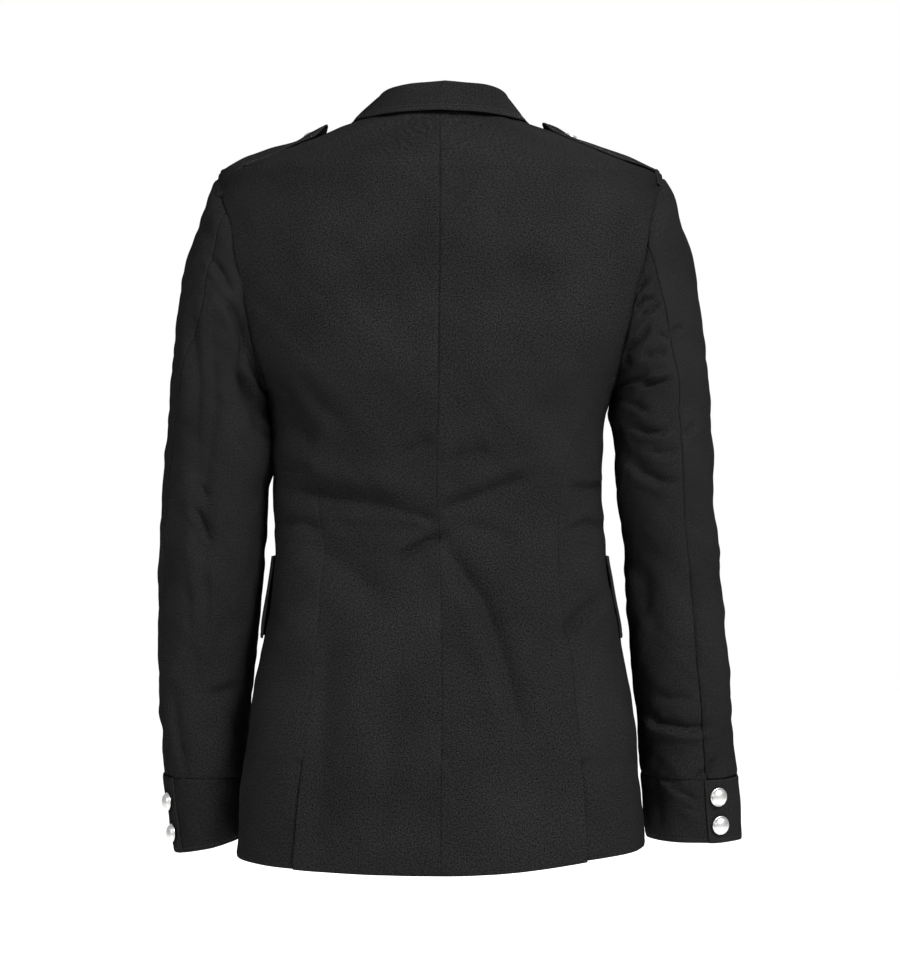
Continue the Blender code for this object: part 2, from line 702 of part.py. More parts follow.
def make_collar():
    """Collar of one folded strip: stand inside, fall outside."""
    return cloth_piece("collar", GRIDS["collar"], collar_point, flipped=False)


def strap_point(side_name, share, across, out=0.0):
    """Return a point of a shoulder strap: share runs from the sleeve seam to the tip."""
    tip_shape = STRAP_POINT * (1.0 - abs(across) ** 1.6)
    x = blend(STRAP_BASE_X, STRAP_TIP_X + STRAP_POINT - tip_shape, share)
    width = blend(STRAP_WIDTH_BASE, STRAP_WIDTH_TIP, share)
    y = STRAP_SHIFT + across * width / 2.0
    lift = STRAP_LIFT + STRAP_TIP_LIFT * (0.25 * ease(share / 0.5) + 0.75 * ease((share - 0.45) / 0.55))
    height = max(shoulder_height(x, y), shoulder_height(x, 0.0) - STRAP_CROSS_DROP * across * across)
    return Vector((x * SIDES[side_name], y, height + lift + out))


def make_epaulette(side_name):
    """Shoulder strap: sewn in at the sleeve, pointed and buttoned by the collar."""
    def shape(u, v):
        return strap_point(side_name, v, 2.0 * u - 1.0)

    return cloth_piece("epaulette_" + side_name, GRIDS["epaulette"], shape, flipped=SIDES[side_name] < 0.0)


def make_flap(side_name):
    """Hip pocket flap, hanging from its seam and standing off below."""
    sign = SIDES[side_name]

    def shape(u, v):
        height = blend(FLAP_BOTTOM, FLAP_TOP, v)
        lift = blend(FLAP_BOTTOM_LIFT, FLAP_TOP_LIFT, v ** 1.3)
        turn = blend(FLAP_BACK_TURN, FLAP_FRONT_TURN, u)
        top_point = body_point(turn * sign, FLAP_TOP, lift)
        low_point = body_point(turn * sign, height, lift)
        fullness = 0.6
        point = low_point.lerp(Vector((top_point.x, top_point.y, height)), 1.0 - fullness)
        normal_out = (body_point(turn * sign, height, 1.0) - body_point(turn * sign, height, 0.0)).normalized()
        clearance = (point - body_point(turn * sign, height, 0.0)).dot(normal_out)
        return point + normal_out * max(FLAP_TOP_LIFT - clearance, 0.0)

    return cloth_piece("hip_flap_" + side_name, GRIDS["hip_flap"], shape, flipped=sign > 0.0)


def button_mesh(name, radius, height):
    """Make the half outline of a domed button, from the top of the dome to its flat foot."""
    outline = [(0.0, height)]
    steps = 3
    for step in range(1, steps + 1):
        angle = math.radians(90.0 * step / steps)
        outline.append((radius * math.sin(angle), height * 0.22 + height * 0.78 * math.cos(angle)))
    outline.append((radius * 0.94, 0.0004))
    outline.append((radius * 0.80, 0.0))
    outline.append((0.0, 0.0))
    data = bpy.data.meshes.new(name)
    points = [(x, 0.0, z) for x, z in outline]
    edges = [(i, i + 1) for i in range(len(points) - 1)]
    data.from_pydata(points, edges, [])
    return data


def make_button(name, data, foot, normal):
    """Set a button on the cloth, its dome along the normal."""
    button = bpy.data.objects.new(name, data)
    coat.objects.link(button)
    button.location = foot + normal * BUTTON_GAP
    button.rotation_euler = normal.to_track_quat("Z", "Y").to_euler()
    turned = button.modifiers.new("turned", "SCREW")
    turned.angle = math.radians(360.0)
    turned.steps = BUTTON_SIDES
    turned.render_steps = BUTTON_SIDES
    turned.axis = "Z"
    turned.use_merge_vertices = True
    turned.merge_threshold = 0.0001
    turned.use_smooth_shade = True
    return button


def facing(first_run, second_run, outward):
    """Return the unit normal of a surface from two steps along it, on the side of outward."""
    normal = first_run.cross(second_run).normalized()
    return normal if normal.dot(outward) > 0.0 else -normal


for old in list(bpy.data.objects):
    bpy.data.objects.remove(old, do_unlink=True)

coat = bpy.data.collections.new("military_officer_coat")
bpy.context.scene.collection.children.link(coat)

for side in SIDES:
    make_back(side)
    make_side(side)
    make_front(side)
    make_lapel(side)
    is_left = SIDES[side] > 0.0
    seam_half = math.degrees(SEAM_PULL * 2.8 / 0.05)
    make_sleeve(side, "top_sleeve", -TOP_SLEEVE_SWEEP, -seam_half, not is_left)
    make_sleeve(side, "under_sleeve", seam_half, 360.0 - TOP_SLEEVE_SWEEP - 2.0 * seam_half, not is_left)
    make_cuff(side)
    make_epaulette(side)
    make_flap(side)
make_collar()

silver = new_material("silver_button_metal", SILVER_COLOUR, 0.35, 1.0)
coat_button = button_mesh("coat_button", BUTTON_RADIUS, BUTTON_HEIGHT)
coat_button.materials.append(silver)
strap_button = button_mesh("strap_button", STRAP_BUTTON_RADIUS, BUTTON_HEIGHT * 0.85)
strap_button.materials.append(silver)


def button_on_strap(side_name):
    """Set the button of a shoulder strap."""
    share = (STRAP_BASE_X - STRAP_BUTTON_X) / (STRAP_BASE_X - STRAP_TIP_X)
    foot = strap_point(side_name, share, 0.0)
    along = strap_point(side_name, share + 0.02, 0.0) - foot
    across = strap_point(side_name, share, 0.05) - foot
    make_button("shoulder_button_" + side_name, strap_button, foot, facing(along, across, Vector((0.0, 0.0, 1.0))))


def button_on_cuff(side_name, place, height):
    """Set one button of a cuff, near the free edge of its lap."""
    turn = CUFF_EDGE_TURN[side_name] - CUFF_BUTTON_INSET
    foot = sleeve_point(side_name, turn, height, LAYER)
    round_cuff = sleeve_point(side_name, turn + 1.0, height, LAYER) - foot
    up_cuff = sleeve_point(side_name, turn, height + 0.002, LAYER) - foot
    outward = Vector((SIDES[side_name] * math.cos(math.radians(turn)), math.sin(math.radians(turn)), 0.0))
    normal = facing(round_cuff, up_cuff, outward)
    make_button("cuff_button_" + side_name + "_" + place, coat_button, foot, normal)


def button_on_front(number, height):
    """Set one button of the front, on the middle line of the left front."""
    foot = front_point("left", front_turn(0.0005, height), height)
    across = front_point("left", front_turn(0.0045, height), height) - foot
    rise = front_point("left", front_turn(0.0005, height + 0.002), height + 0.002) - foot
    normal = facing(across, rise, Vector((0.0, -1.0, 0.0)))
    make_button("front_button_" + str(number), coat_button, foot, normal)


for side in SIDES:
    button_on_strap(side)
    button_on_cuff(side, "upper", CUFF_BUTTON_HEIGHTS[side][0])
    button_on_cuff(side, "lower", CUFF_BUTTON_HEIGHTS[side][1])
for number, height in enumerate(FRONT_BUTTON_HEIGHTS, start=1):
    button_on_front(number, height)
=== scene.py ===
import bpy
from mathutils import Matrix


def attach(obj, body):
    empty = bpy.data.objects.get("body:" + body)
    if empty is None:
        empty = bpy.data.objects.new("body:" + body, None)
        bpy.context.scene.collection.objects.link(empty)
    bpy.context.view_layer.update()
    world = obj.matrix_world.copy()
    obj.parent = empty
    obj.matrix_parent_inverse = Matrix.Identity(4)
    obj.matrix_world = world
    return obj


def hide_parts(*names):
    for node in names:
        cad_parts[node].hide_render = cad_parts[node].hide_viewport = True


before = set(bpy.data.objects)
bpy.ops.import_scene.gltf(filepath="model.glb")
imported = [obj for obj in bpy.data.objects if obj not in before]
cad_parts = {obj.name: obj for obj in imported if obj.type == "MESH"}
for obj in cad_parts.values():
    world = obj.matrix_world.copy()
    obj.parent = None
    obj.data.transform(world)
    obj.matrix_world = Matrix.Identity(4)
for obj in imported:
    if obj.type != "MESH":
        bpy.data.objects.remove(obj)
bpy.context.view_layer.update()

import math

import bmesh
import bpy
import numpy as np
from mathutils import Matrix, Vector

# Back of the coat: two panels of black cotton twill over a soft lining, joined by a seam down the middle that
# is nipped in at the waist.  The cloth blouses a little over the waist, creases where the seam draws it in,
# and hangs smooth over the hips to a turned-up hem.
sides = {"left": 1.0, "right": -1.0}
cloth_thickness = 0.0018

# Neighbouring panels overlap by a hair at a seam, so that no light comes through
seam_half = -0.00008

# Heights, from the neck base
neck_top = -0.0005
shoulder_point = -0.0565
seam_join = -0.2500
armhole_floor = -0.2650
cuff_top = -0.6370
hem_back = -0.7085
hem_side = {"left": -0.7040, "right": -0.6950}
hem_front = -0.6980
hem_turn_up = 0.038

body_columns = ("height", "half_width", "back_depth", "front_depth", "shift", "squareness", "side_y")
body_rows = (
    (0.0000, 0.0700, 0.0600, 0.0600, 0.0000, 2.3, 0.000),
    (-0.0100, 0.0955, 0.0680, 0.0665, 0.0000, 2.3, 0.000),
    (-0.0200, 0.1220, 0.0735, 0.0730, 0.0000, 2.3, 0.000),
    (-0.0300, 0.1480, 0.0780, 0.0785, 0.0000, 2.3, 0.000),
    (-0.0400, 0.1730, 0.0815, 0.0835, 0.0000, 2.3, 0.000),
    (-0.0565, 0.2125, 0.0860, 0.0905, 0.0000, 2.3, 0.000),
    (-0.0710, 0.2135, 0.0895, 0.0965, 0.0000, 2.3, 0.000),
    (-0.1010, 0.2205, 0.0975, 0.1085, 0.0000, 2.35, 0.000),
    (-0.1350, 0.2190, 0.1060, 0.1185, 0.0000, 2.4, 0.000),
    (-0.1650, 0.2110, 0.1100, 0.1255, 0.0005, 2.4, 0.000),
    (-0.2030, 0.1985, 0.1110, 0.1310, 0.0010, 2.4, 0.000),
    (-0.2330, 0.1835, 0.1100, 0.1330, 0.0010, 2.4, 0.000),
    (-0.2500, 0.1750, 0.1090, 0.1330, 0.0010, 2.4, 0.000),
    (-0.2700, 0.1668, 0.1065, 0.1325, 0.0010, 2.4, 0.000),
    (-0.3000, 0.1612, 0.1010, 0.1300, 0.0020, 2.4, 0.000),
    (-0.3500, 0.1594, 0.0910, 0.1240, 0.0030, 2.4, 0.002),
    (-0.4000, 0.1594, 0.0870, 0.1200, 0.0005, 2.35, 0.006),
    (-0.4500, 0.1622, 0.0940, 0.1210, -0.0010, 2.3, 0.010),
    (-0.5000, 0.1712, 0.1070, 0.1240, -0.0020, 2.3, 0.014),
    (-0.5600, 0.1812, 0.1200, 0.1290, -0.0025, 2.3, 0.019),
    (-0.6200, 0.1885, 0.1280, 0.1330, -0.0015, 2.3, 0.023),
    (-0.7200, 0.1962, 0.1345, 0.1380, -0.0010, 2.3, 0.027),
)

# Seams of the side panels, as the share of the half-width that each reaches
side_seam_columns = ("height", "back_share", "front_share")
side_seam_rows = (
    (-0.2500, 0.960, 0.960),
    (-0.2700, 0.895, 0.935),
    (-0.2900, 0.840, 0.915),
    (-0.3200, 0.780, 0.900),
    (-0.3500, 0.740, 0.890),
    (-0.3900, 0.705, 0.885),
    (-0.4400, 0.687, 0.885),
    (-0.5000, 0.688, 0.885),
    (-0.6000, 0.680, 0.885),
    (-0.7200, 0.688, 0.885),
)

# The sleeves are needed here, because the armhole is the line where sleeve and body meet
sleeve_columns = ("height", "outer", "inner", "middle", "half_depth")
sleeve_rows = {
    "left": (
        (-0.0575, 0.2150, 0.1170, 0.0000, 0.0180),
        (-0.0710, 0.2205, 0.1230, 0.0000, 0.0330),
        (-0.1010, 0.2325, 0.1340, 0.0000, 0.0515),
        (-0.1350, 0.2432, 0.1430, 0.0000, 0.0595),
        (-0.1650, 0.2493, 0.1490, 0.0000, 0.0635),
        (-0.2030, 0.2547, 0.1560, 0.0000, 0.0670),
        (-0.2330, 0.2589, 0.1630, 0.0005, 0.0680),
        (-0.2500, 0.2598, 0.1668, 0.0010, 0.0675),
        (-0.2700, 0.2604, 0.1662, 0.0010, 0.0670),
        (-0.3000, 0.2628, 0.1620, 0.0000, 0.0660),
        (-0.3350, 0.2659, 0.1618, -0.0025, 0.0645),
        (-0.3620, 0.2683, 0.1668, -0.0045, 0.0635),
        (-0.4200, 0.2731, 0.1708, -0.0100, 0.0605),
        (-0.4700, 0.2747, 0.1748, -0.0150, 0.0575),
        (-0.5200, 0.2754, 0.1807, -0.0200, 0.0550),
        (-0.5700, 0.2750, 0.1855, -0.0260, 0.0530),
        (-0.6100, 0.2720, 0.1880, -0.0300, 0.0515),
        (-0.6400, 0.2698, 0.1895, -0.0330, 0.0505),
        (-0.7100, 0.2606, 0.1931, -0.0400, 0.0490),
    ),
    "right": (
        (-0.0575, 0.2170, 0.1170, 0.0000, 0.0180),
        (-0.0710, 0.2232, 0.1230, 0.0000, 0.0330),
        (-0.1010, 0.2340, 0.1340, 0.0000, 0.0515),
        (-0.1350, 0.2443, 0.1440, 0.0000, 0.0595),
        (-0.1650, 0.2493, 0.1490, 0.0000, 0.0635),
        (-0.2030, 0.2545, 0.1550, 0.0000, 0.0670),
        (-0.2330, 0.2575, 0.1605, 0.0005, 0.0680),
        (-0.2500, 0.2592, 0.1655, 0.0010, 0.0675),
        (-0.2700, 0.2602, 0.1670, 0.0010, 0.0670),
        (-0.2850, 0.2613, 0.1642, 0.0005, 0.0665),
        (-0.3030, 0.2626, 0.1678, 0.0000, 0.0658),
        (-0.3500, 0.2643, 0.1714, -0.0030, 0.0640),
        (-0.4200, 0.2700, 0.1787, -0.0080, 0.0600),
        (-0.4700, 0.2759, 0.1819, -0.0120, 0.0570),
        (-0.5200, 0.2804, 0.1860, -0.0160, 0.0545),
        (-0.5700, 0.2845, 0.1918, -0.0210, 0.0520),
        (-0.6100, 0.2877, 0.1956, -0.0250, 0.0505),
        (-0.6400, 0.2907, 0.1977, -0.0280, 0.0495),
        (-0.7100, 0.2968, 0.2031, -0.0340, 0.0490),
    ),
}
sleeve_squareness = 2.2

# Folds of the back, in millimetres: a path of places (distance to the left of the middle, height), the width
# and depth of the trough, and the ridge beside it, to the left of the path or, when negative, to its right
back_folds = (
    (((160, -348), (102, -365), (56, -374), (20, -380)), 12.0, 11.6, -3.0),
    (((-6, -401), (2, -404), (18, -410), (42, -423)), 3.8, 8.4, -4.3),
    (((7, -389), (37, -396), (74, -394), (112, -390)), 7.0, 3.5, 1.1),
    (((4, -401), (-4, -410), (-21, -433), (-41, -462), (-58, -510), (-70, -556), (-79, -595)),
     10.0, 10.2, 4.1),
    (((0, -381), (-10, -376), (-38, -365), (-70, -353), (-92, -346)), 8.5, 7.8, -3.0),
    (((-6, -333), (-26, -329), (-47, -321)), 8.0, 4.9, 1.4),
    (((38, -327), (18, -319), (3, -310)), 5.0, 3.8, 1.4),
    (((40, -380), (20, -383), (3, -388)), 4.0, 3.8, 1.6),
    (((-5, -394), (-28, -392), (-56, -400), (-73, -416)), 8.0, 2.8, -1.1),
    (((-161, -357), (-140, -358), (-122, -356)), 5.0, 5.2, 1.9),
    (((-161, -396), (-139, -391), (-118, -399)), 5.0, 5.2, 1.9),
    (((158, -336), (138, -338), (119, -342)), 5.0, 3.5, 1.1),
    (((157, -390), (134, -389), (110, -398)), 6.0, 4.9, 1.4),
    (((-153, -460), (-133, -476), (-114, -495)), 7.0, 8.1, -3.2),
    (((-143, -498), (-138, -521), (-127, -558)), 4.5, 2.2, 1.4),
    (((-153, -499), (-159, -554), (-164, -627)), 7.0, 2.0, 0.0),
    (((-47, -71), (-28, -98), (-7, -125)), 3.6, 1.9, 1.6),
    (((-36, -34), (-7, -57), (22, -80)), 4.0, 1.5, 1.2),
    (((32, -126), (17, -125), (-1, -123)), 3.4, 1.2, 0.8),
    (((34, -141), (58, -154), (87, -174)), 5.0, 1.9, 1.5),
    (((22, -140), (7, -138)), 3.2, 0.9, 0.5),
    (((28, -42), (14, -50)), 3.2, 0.8, 0.5),
    (((20, -61), (9, -73)), 3.2, 0.8, 0.5),
    (((7, -587), (-7, -605), (-17, -625)), 4.0, 1.5, 0.8),
    (((102, -460), (108, -551), (110, -686)), 18.0, 5.8, 1.6),
    (((36, -496), (49, -604), (54, -702)), 20.0, 5.2, 1.4),
    (((-92, -604), (-96, -703)), 16.0, 2.8, 0.0),
    (((-60, -149), (-88, -160), (-116, -183)), 24.0, 6.4, 0.0),
    (((158, -255), (141, -293), (118, -323)), 17.0, 10.2, 0.0),
    (((137, -247), (113, -279), (80, -304)), 10.0, 3.8, 1.1),
    (((128, -405), (83, -437), (44, -462)), 16.0, 7.2, 2.0),
)

# Folds of the front, in the same way: drawn in above the top button and at the waist
front_folds = (
    (((118, -118), (92, -190), (52, -262), (24, -312)), 16.0, 2.2, 1.2),
    (((-116, -112), (-96, -186), (-60, -256), (-30, -306)), 15.0, 2.0, -1.2),
    (((26, -334), (70, -346), (122, -341), (150, -350)), 9.0, 2.6, 1.4),
    (((-22, -336), (-64, -350), (-110, -348), (-150, -357)), 9.0, 2.8, -1.4),
    (((30, -400), (72, -394), (120, -398), (152, -392)), 7.0, 2.0, 1.0),
    (((-24, -408), (-66, -398), (-118, -404), (-154, -396)), 8.0, 2.0, -1.0),
    (((20, -345), (46, -372), (62, -398)), 5.0, 1.4, -0.8),
    (((58, -520), (72, -600), (78, -690)), 17.0, 2.2, 0.0),
    (((-66, -512), (-84, -600), (-88, -690)), 18.0, 2.4, 0.0),
    (((126, -520), (134, -610), (138, -690)), 15.0, 1.8, 0.0),
)
waist_tuck = {"height": -0.400, "width": 0.030, "depth": 0.0060}


def blend(start, end, share):
    """The value at a share of the way from start to end."""
    return start + (end - start) * share


def ease(share):
    """A share between 0 and 1 with soft ends."""
    share = np.clip(share, 0.0, 1.0)
    return share * share * (3.0 - 2.0 * share)


def signed_power(value, exponent):
    """Raise the size of a value to an exponent and keep its sign."""
    return np.sign(value) * np.abs(value) ** exponent


def follow(columns, rows, column, at):
    """Read a column of a table of sizes between its rows, on a smooth curve without overshoot."""
    keys = np.array([row[0] for row in rows])
    values = np.array([row[columns.index(column)] for row in rows])
    if keys[0] > keys[-1]:
        keys, values = keys[::-1], values[::-1]
    at = np.clip(at, keys[0], keys[-1])
    step = np.diff(keys)
    slope = np.diff(values) / step
    before, after = slope[:-1], slope[1:]
    same_way = before * after > 0.0
    middle = np.where(same_way, 2.0 * before * after / np.where(same_way, before + after, 1.0), 0.0)
    tangent = np.concatenate(([slope[0]], middle, [slope[-1]]))
    place = np.clip(np.searchsorted(keys, at, side="right") - 1, 0, len(step) - 1)
    t = (at - keys[place]) / step[place]
    start = values[place] * (1 + 2 * t) * (1 - t) ** 2 + tangent[place] * step[place] * t * (1 - t) ** 2
    end = values[place + 1] * t * t * (3 - 2 * t) + tangent[place + 1] * step[place] * t * t * (t - 1)
    return start + end


def body_size(column, height):
    """Read one size of the body at a height."""
    return follow(body_columns, body_rows, column, height)


def body_form(turn, height):
    """Places on the body: turn 0 is the middle of the back, 90 the left side and 180 the front."""
    turn, height = np.broadcast_arrays(np.asarray(turn, float), np.asarray(height, float))
    angle = np.radians(turn)
    squareness = body_size("squareness", height)
    across = signed_power(np.sin(angle), 2.0 / squareness)
    deep = signed_power(np.cos(angle), 2.0 / squareness)
    x = body_size("half_width", height) * across + body_size("shift", height)
    y = np.where(deep > 0.0, body_size("back_depth", height), body_size("front_depth", height)) * deep
    return np.stack([x, y + body_size("side_y", height) * across ** 2, height], axis=-1)


def turn_at_share(share, height, front=False):
    """The turn where the body reaches a share of its half-width."""
    squareness = body_size("squareness", height)
    turn = np.degrees(np.arcsin(signed_power(np.clip(share, -1.0, 1.0), squareness / 2.0)))
    return 180.0 - turn if front else turn


def sleeve_ring(side, height):
    """Middle and half sizes of a sleeve at a height."""
    outer, inner, middle_y, half_depth = (follow(sleeve_columns, sleeve_rows[side], column, height)
                                          for column in sleeve_columns[1:])
    return (outer + inner) / 2.0, middle_y, (outer - inner) / 2.0, half_depth


def last_place(low, high, holds):
    """Halve the stretch from low to high until it ends at the last place where a test still holds."""
    for _ in range(36):
        place = (low + high) / 2.0
        held = holds(place)
        low, high = np.where(held, place, low), np.where(held, high, place)
    return place


def find_armhole(side, back):
    """Heights down an armhole, with the turns of body and sleeve where both meet."""
    height = np.linspace(armhole_floor - 0.004, shoulder_point, 400)
    middle_x, middle_y, half_width, half_depth = sleeve_ring(side, height)

    def on_sleeve(turn):
        place = body_form(turn * sides[side], height)
        return (place[:, 0] * sides[side] - middle_x) / half_width, (place[:, 1] - middle_y) / half_depth

    def clear(turn):
        across, deep = on_sleeve(turn)
        return np.abs(across) ** sleeve_squareness + np.abs(deep) ** sleeve_squareness > 1.0

    turn = last_place(np.full_like(height, 0.0 if back else 180.0), np.full_like(height, 90.0), clear)
    across = np.clip(on_sleeve(turn)[0], -1.0, 1.0)
    return height, turn, np.degrees(np.arccos(signed_power(across, sleeve_squareness / 2.0)))


armholes = {(side, back): find_armhole(side, back) for side in sides for back in (True, False)}


def side_seam_turn(height, back):
    """The turn of the seam between the side panel and the back or the front."""
    share = follow(side_seam_columns, side_seam_rows, "back_share" if back else "front_share", height)
    return turn_at_share(share, height, front=not back)


def along_body(turn, height, distance):
    """A turn moved along the body by a distance."""
    step = 0.2
    moved = np.linalg.norm(body_form(turn + step, height) - body_form(turn, height), axis=-1)
    return turn + distance * step / np.maximum(moved, 0.0001)


def outer_turn(side, height, back):
    """The turn of a panel's outer edge: side seam, armhole, then shoulder seam."""
    pull = -seam_half if back else seam_half
    heights, turns, _ = armholes[side, back]
    at_armhole = along_body(np.interp(height, heights, turns), height, pull * 2.0)
    at_side = along_body(side_seam_turn(height, back), height, pull)
    ridge = 0.00004 / body_size("back_depth", height)
    ridge = np.degrees(np.arcsin(ridge ** (body_size("squareness", height) / 2.0)))
    at_shoulder = 90.0 - ridge if back else 90.0 + ridge
    upper = blend(at_armhole, at_shoulder, ease((height - shoulder_point + 0.005) / 0.005))
    return np.where(height <= seam_join, at_side, upper)


def hem_height(side, turn):
    """Height of the hem at a turn."""
    back = blend(hem_back, hem_side[side], ease(turn / 90.0))
    front = blend(hem_side[side], hem_front, ease((turn - 90.0) / 90.0))
    return np.where(turn < 90.0, back, front)


lower_rows = 0.62
shoulder_rows = 0.86


def row_height(v, bottom):
    """Spread the rows of back and front: hem to armhole floor, armhole, then shoulder."""
    lower = np.clip(v / lower_rows, 0.0, 1.0)
    hem_part = blend(blend(hem_back, seam_join, lower), blend(bottom, seam_join, lower), (1.0 - lower) ** 3)
    arm_part = blend(seam_join, shoulder_point, (v - lower_rows) / (shoulder_rows - lower_rows))
    top_part = blend(shoulder_point, neck_top, (v - shoulder_rows) / (1.0 - shoulder_rows))
    return np.where(v <= lower_rows, hem_part, np.where(v <= shoulder_rows, arm_part, top_part))


def shares(cells, crowd=0.55):
    """Shares from 0 to 1 that lie closer together towards both ends, where seams and edges need it."""
    even = np.linspace(0.0, 1.0, cells + 1)
    return even + (0.5 - 0.5 * np.cos(np.pi * even) - even) * crowd


def bump(distance, reach):
    """A soft bump: 1 at no distance and gone past twice its reach."""
    return np.exp(-((distance / reach) ** 2))


def edge_distances(places):
    """Distance of each place from the start and end of its row, and of its column, along the cloth."""
    across = np.cumsum(np.linalg.norm(np.diff(places, axis=1), axis=2), axis=1)
    across = np.pad(across, ((0, 0), (1, 0)))
    along = np.cumsum(np.linalg.norm(np.diff(places, axis=0), axis=2), axis=0)
    along = np.pad(along, ((1, 0), (0, 0)))
    return across, across[:, -1:] - across, along, along[-1:, :] - along


def folded(table, x, height):
    """How far the cloth stands out along its folds: troughs are negative and their ridges positive."""
    out = np.zeros_like(x)
    for path, width, depth, ridge in table:
        places = np.array(path, float) * 0.001
        width, depth, ridge = width * 0.001, depth * 0.001, ridge * 0.001
        nearest = np.full_like(x, 9.0)
        offset = np.zeros_like(x)
        gone = np.zeros_like(x)
        total = 0.0
        for start, end in zip(places[:-1], places[1:]):
            length = np.hypot(*(end - start))
            run = (end - start) / length
            t = np.clip((x - start[0]) * run[0] + (height - start[1]) * run[1], 0.0, length)
            off_x, off_z = x - start[0] - t * run[0], height - start[1] - t * run[1]
            gap = np.hypot(off_x, off_z)
            closer = gap < nearest
            nearest = np.where(closer, gap, nearest)
            offset = np.where(closer, np.copysign(gap, run[0] * off_z - run[1] * off_x), offset)
            gone = np.where(closer, total + t, gone)
            total += length
        share = gone / total
        taper = ease((share + 0.12) / 0.4) * ease((1.08 - share) / 0.4)
        trough = np.exp(-(np.abs(offset / width) ** 1.5))
        beside = bump(offset - np.copysign(1.6 * width, ridge), 1.1 * width)
        out += taper * (abs(ridge) * beside - depth * trough)
    return out


def unevenness(places, size, height, turned=0.0):
    """Soft irregular waves of worn cloth, of a size and a height."""
    out = np.zeros(places.shape[:-1])
    ways = ((0.9, 0.2, 0.5), (-0.4, 0.6, 0.8), (0.3, -0.7, 1.1), (1.2, 0.5, -0.3), (-0.8, -0.4, 0.6),
            (0.2, 1.1, -0.9))
    for number, way in enumerate(ways):
        wave = places @ np.array(way) * (2.0 * math.pi / size)
        bend = np.sin(places @ np.array(way[::-1]) * (1.3 * math.pi / size) + number + turned)
        out += np.sin(wave * (0.8 + 0.13 * number) + 1.7 * number + turned + 1.4 * bend)
    return out * height / len(ways)


def seam_roll(distance, depth=0.0010, reach=0.0019):
    """Cloth edge that turns in at a seam."""
    return -depth * bump(distance, reach)


def pucker(distance, along, height=0.0003, spacing=0.0075, reach=0.009):
    """Small waves beside a seam, where the thread draws the cloth up."""
    wave = np.sin(along * 2.0 * math.pi / spacing + 1.3 * np.sin(along * 2.0 * math.pi / (spacing * 3.7)))
    return height * wave * np.exp(-((distance / reach) ** 1.5)) * ease(distance / 0.002)


def facing(normals, way, soft=0.22):
    """How squarely the cloth looks one way, from 0 at the outline to 1."""
    return ease((normals @ np.array(way)) / soft)


def body_relief(places, normals):
    """Folds, waist tuck and unevenness of the body of the coat."""
    x, height = places[..., 0], places[..., 2]
    tuck = waist_tuck["depth"] * bump(x, waist_tuck["width"])
    tuck = tuck * bump(height - waist_tuck["height"], waist_tuck["width"])
    out = facing(normals, (0.0, 1.0, 0.0)) * (folded(back_folds, x, height) - tuck)
    out += facing(normals, (0.0, -1.0, 0.0)) * folded(front_folds, x, height)
    return out + unevenness(places, 0.110, 0.0024) + unevenness(places, 0.041, 0.0009, 2.0)


def hem_relief(low):
    """The turned-up hem: a soft step where the inner edge ends, and a lower edge that rolls in."""
    step = 0.0005 * ease((hem_turn_up - low) / 0.004) + 0.0003 * bump(low - hem_turn_up, 0.002)
    return step + seam_roll(low, 0.0008, 0.002)


def from_hex(code):
    """sRGB hex code to linear colour."""
    parts = [int(code[i:i + 2], 16) / 255.0 for i in (1, 3, 5)]
    return tuple(p / 12.92 if p <= 0.04045 else ((p + 0.055) / 1.055) ** 2.4 for p in parts) + (1.0,)


def wire(tree, node, settings=None, **links):
    """Set a node's properties and sockets and link its inputs.  A socket goes by its name or number; in a
    link's name _ stands for a space, or comes before the number."""
    for key, value in (settings or {}).items():
        if isinstance(key, str) and hasattr(node, key):
            setattr(node, key, value)
        else:
            node.inputs[key].default_value = value
    for key, source in links.items():
        tree.links.new(source, node.inputs[int(key[1:]) if key[1:].isdigit() else key.replace("_", " ")])
    return node


def add(tree, kind, settings=None, **links):
    """Add a node, set it up and link its inputs."""
    return wire(tree, tree.nodes.new(kind), settings, **links)


def new_material(name):
    """A new material, with its node tree and its shader."""
    material = bpy.data.materials.new(name)
    material.use_nodes = True
    return material, material.node_tree, material.node_tree.nodes["Principled BSDF"]


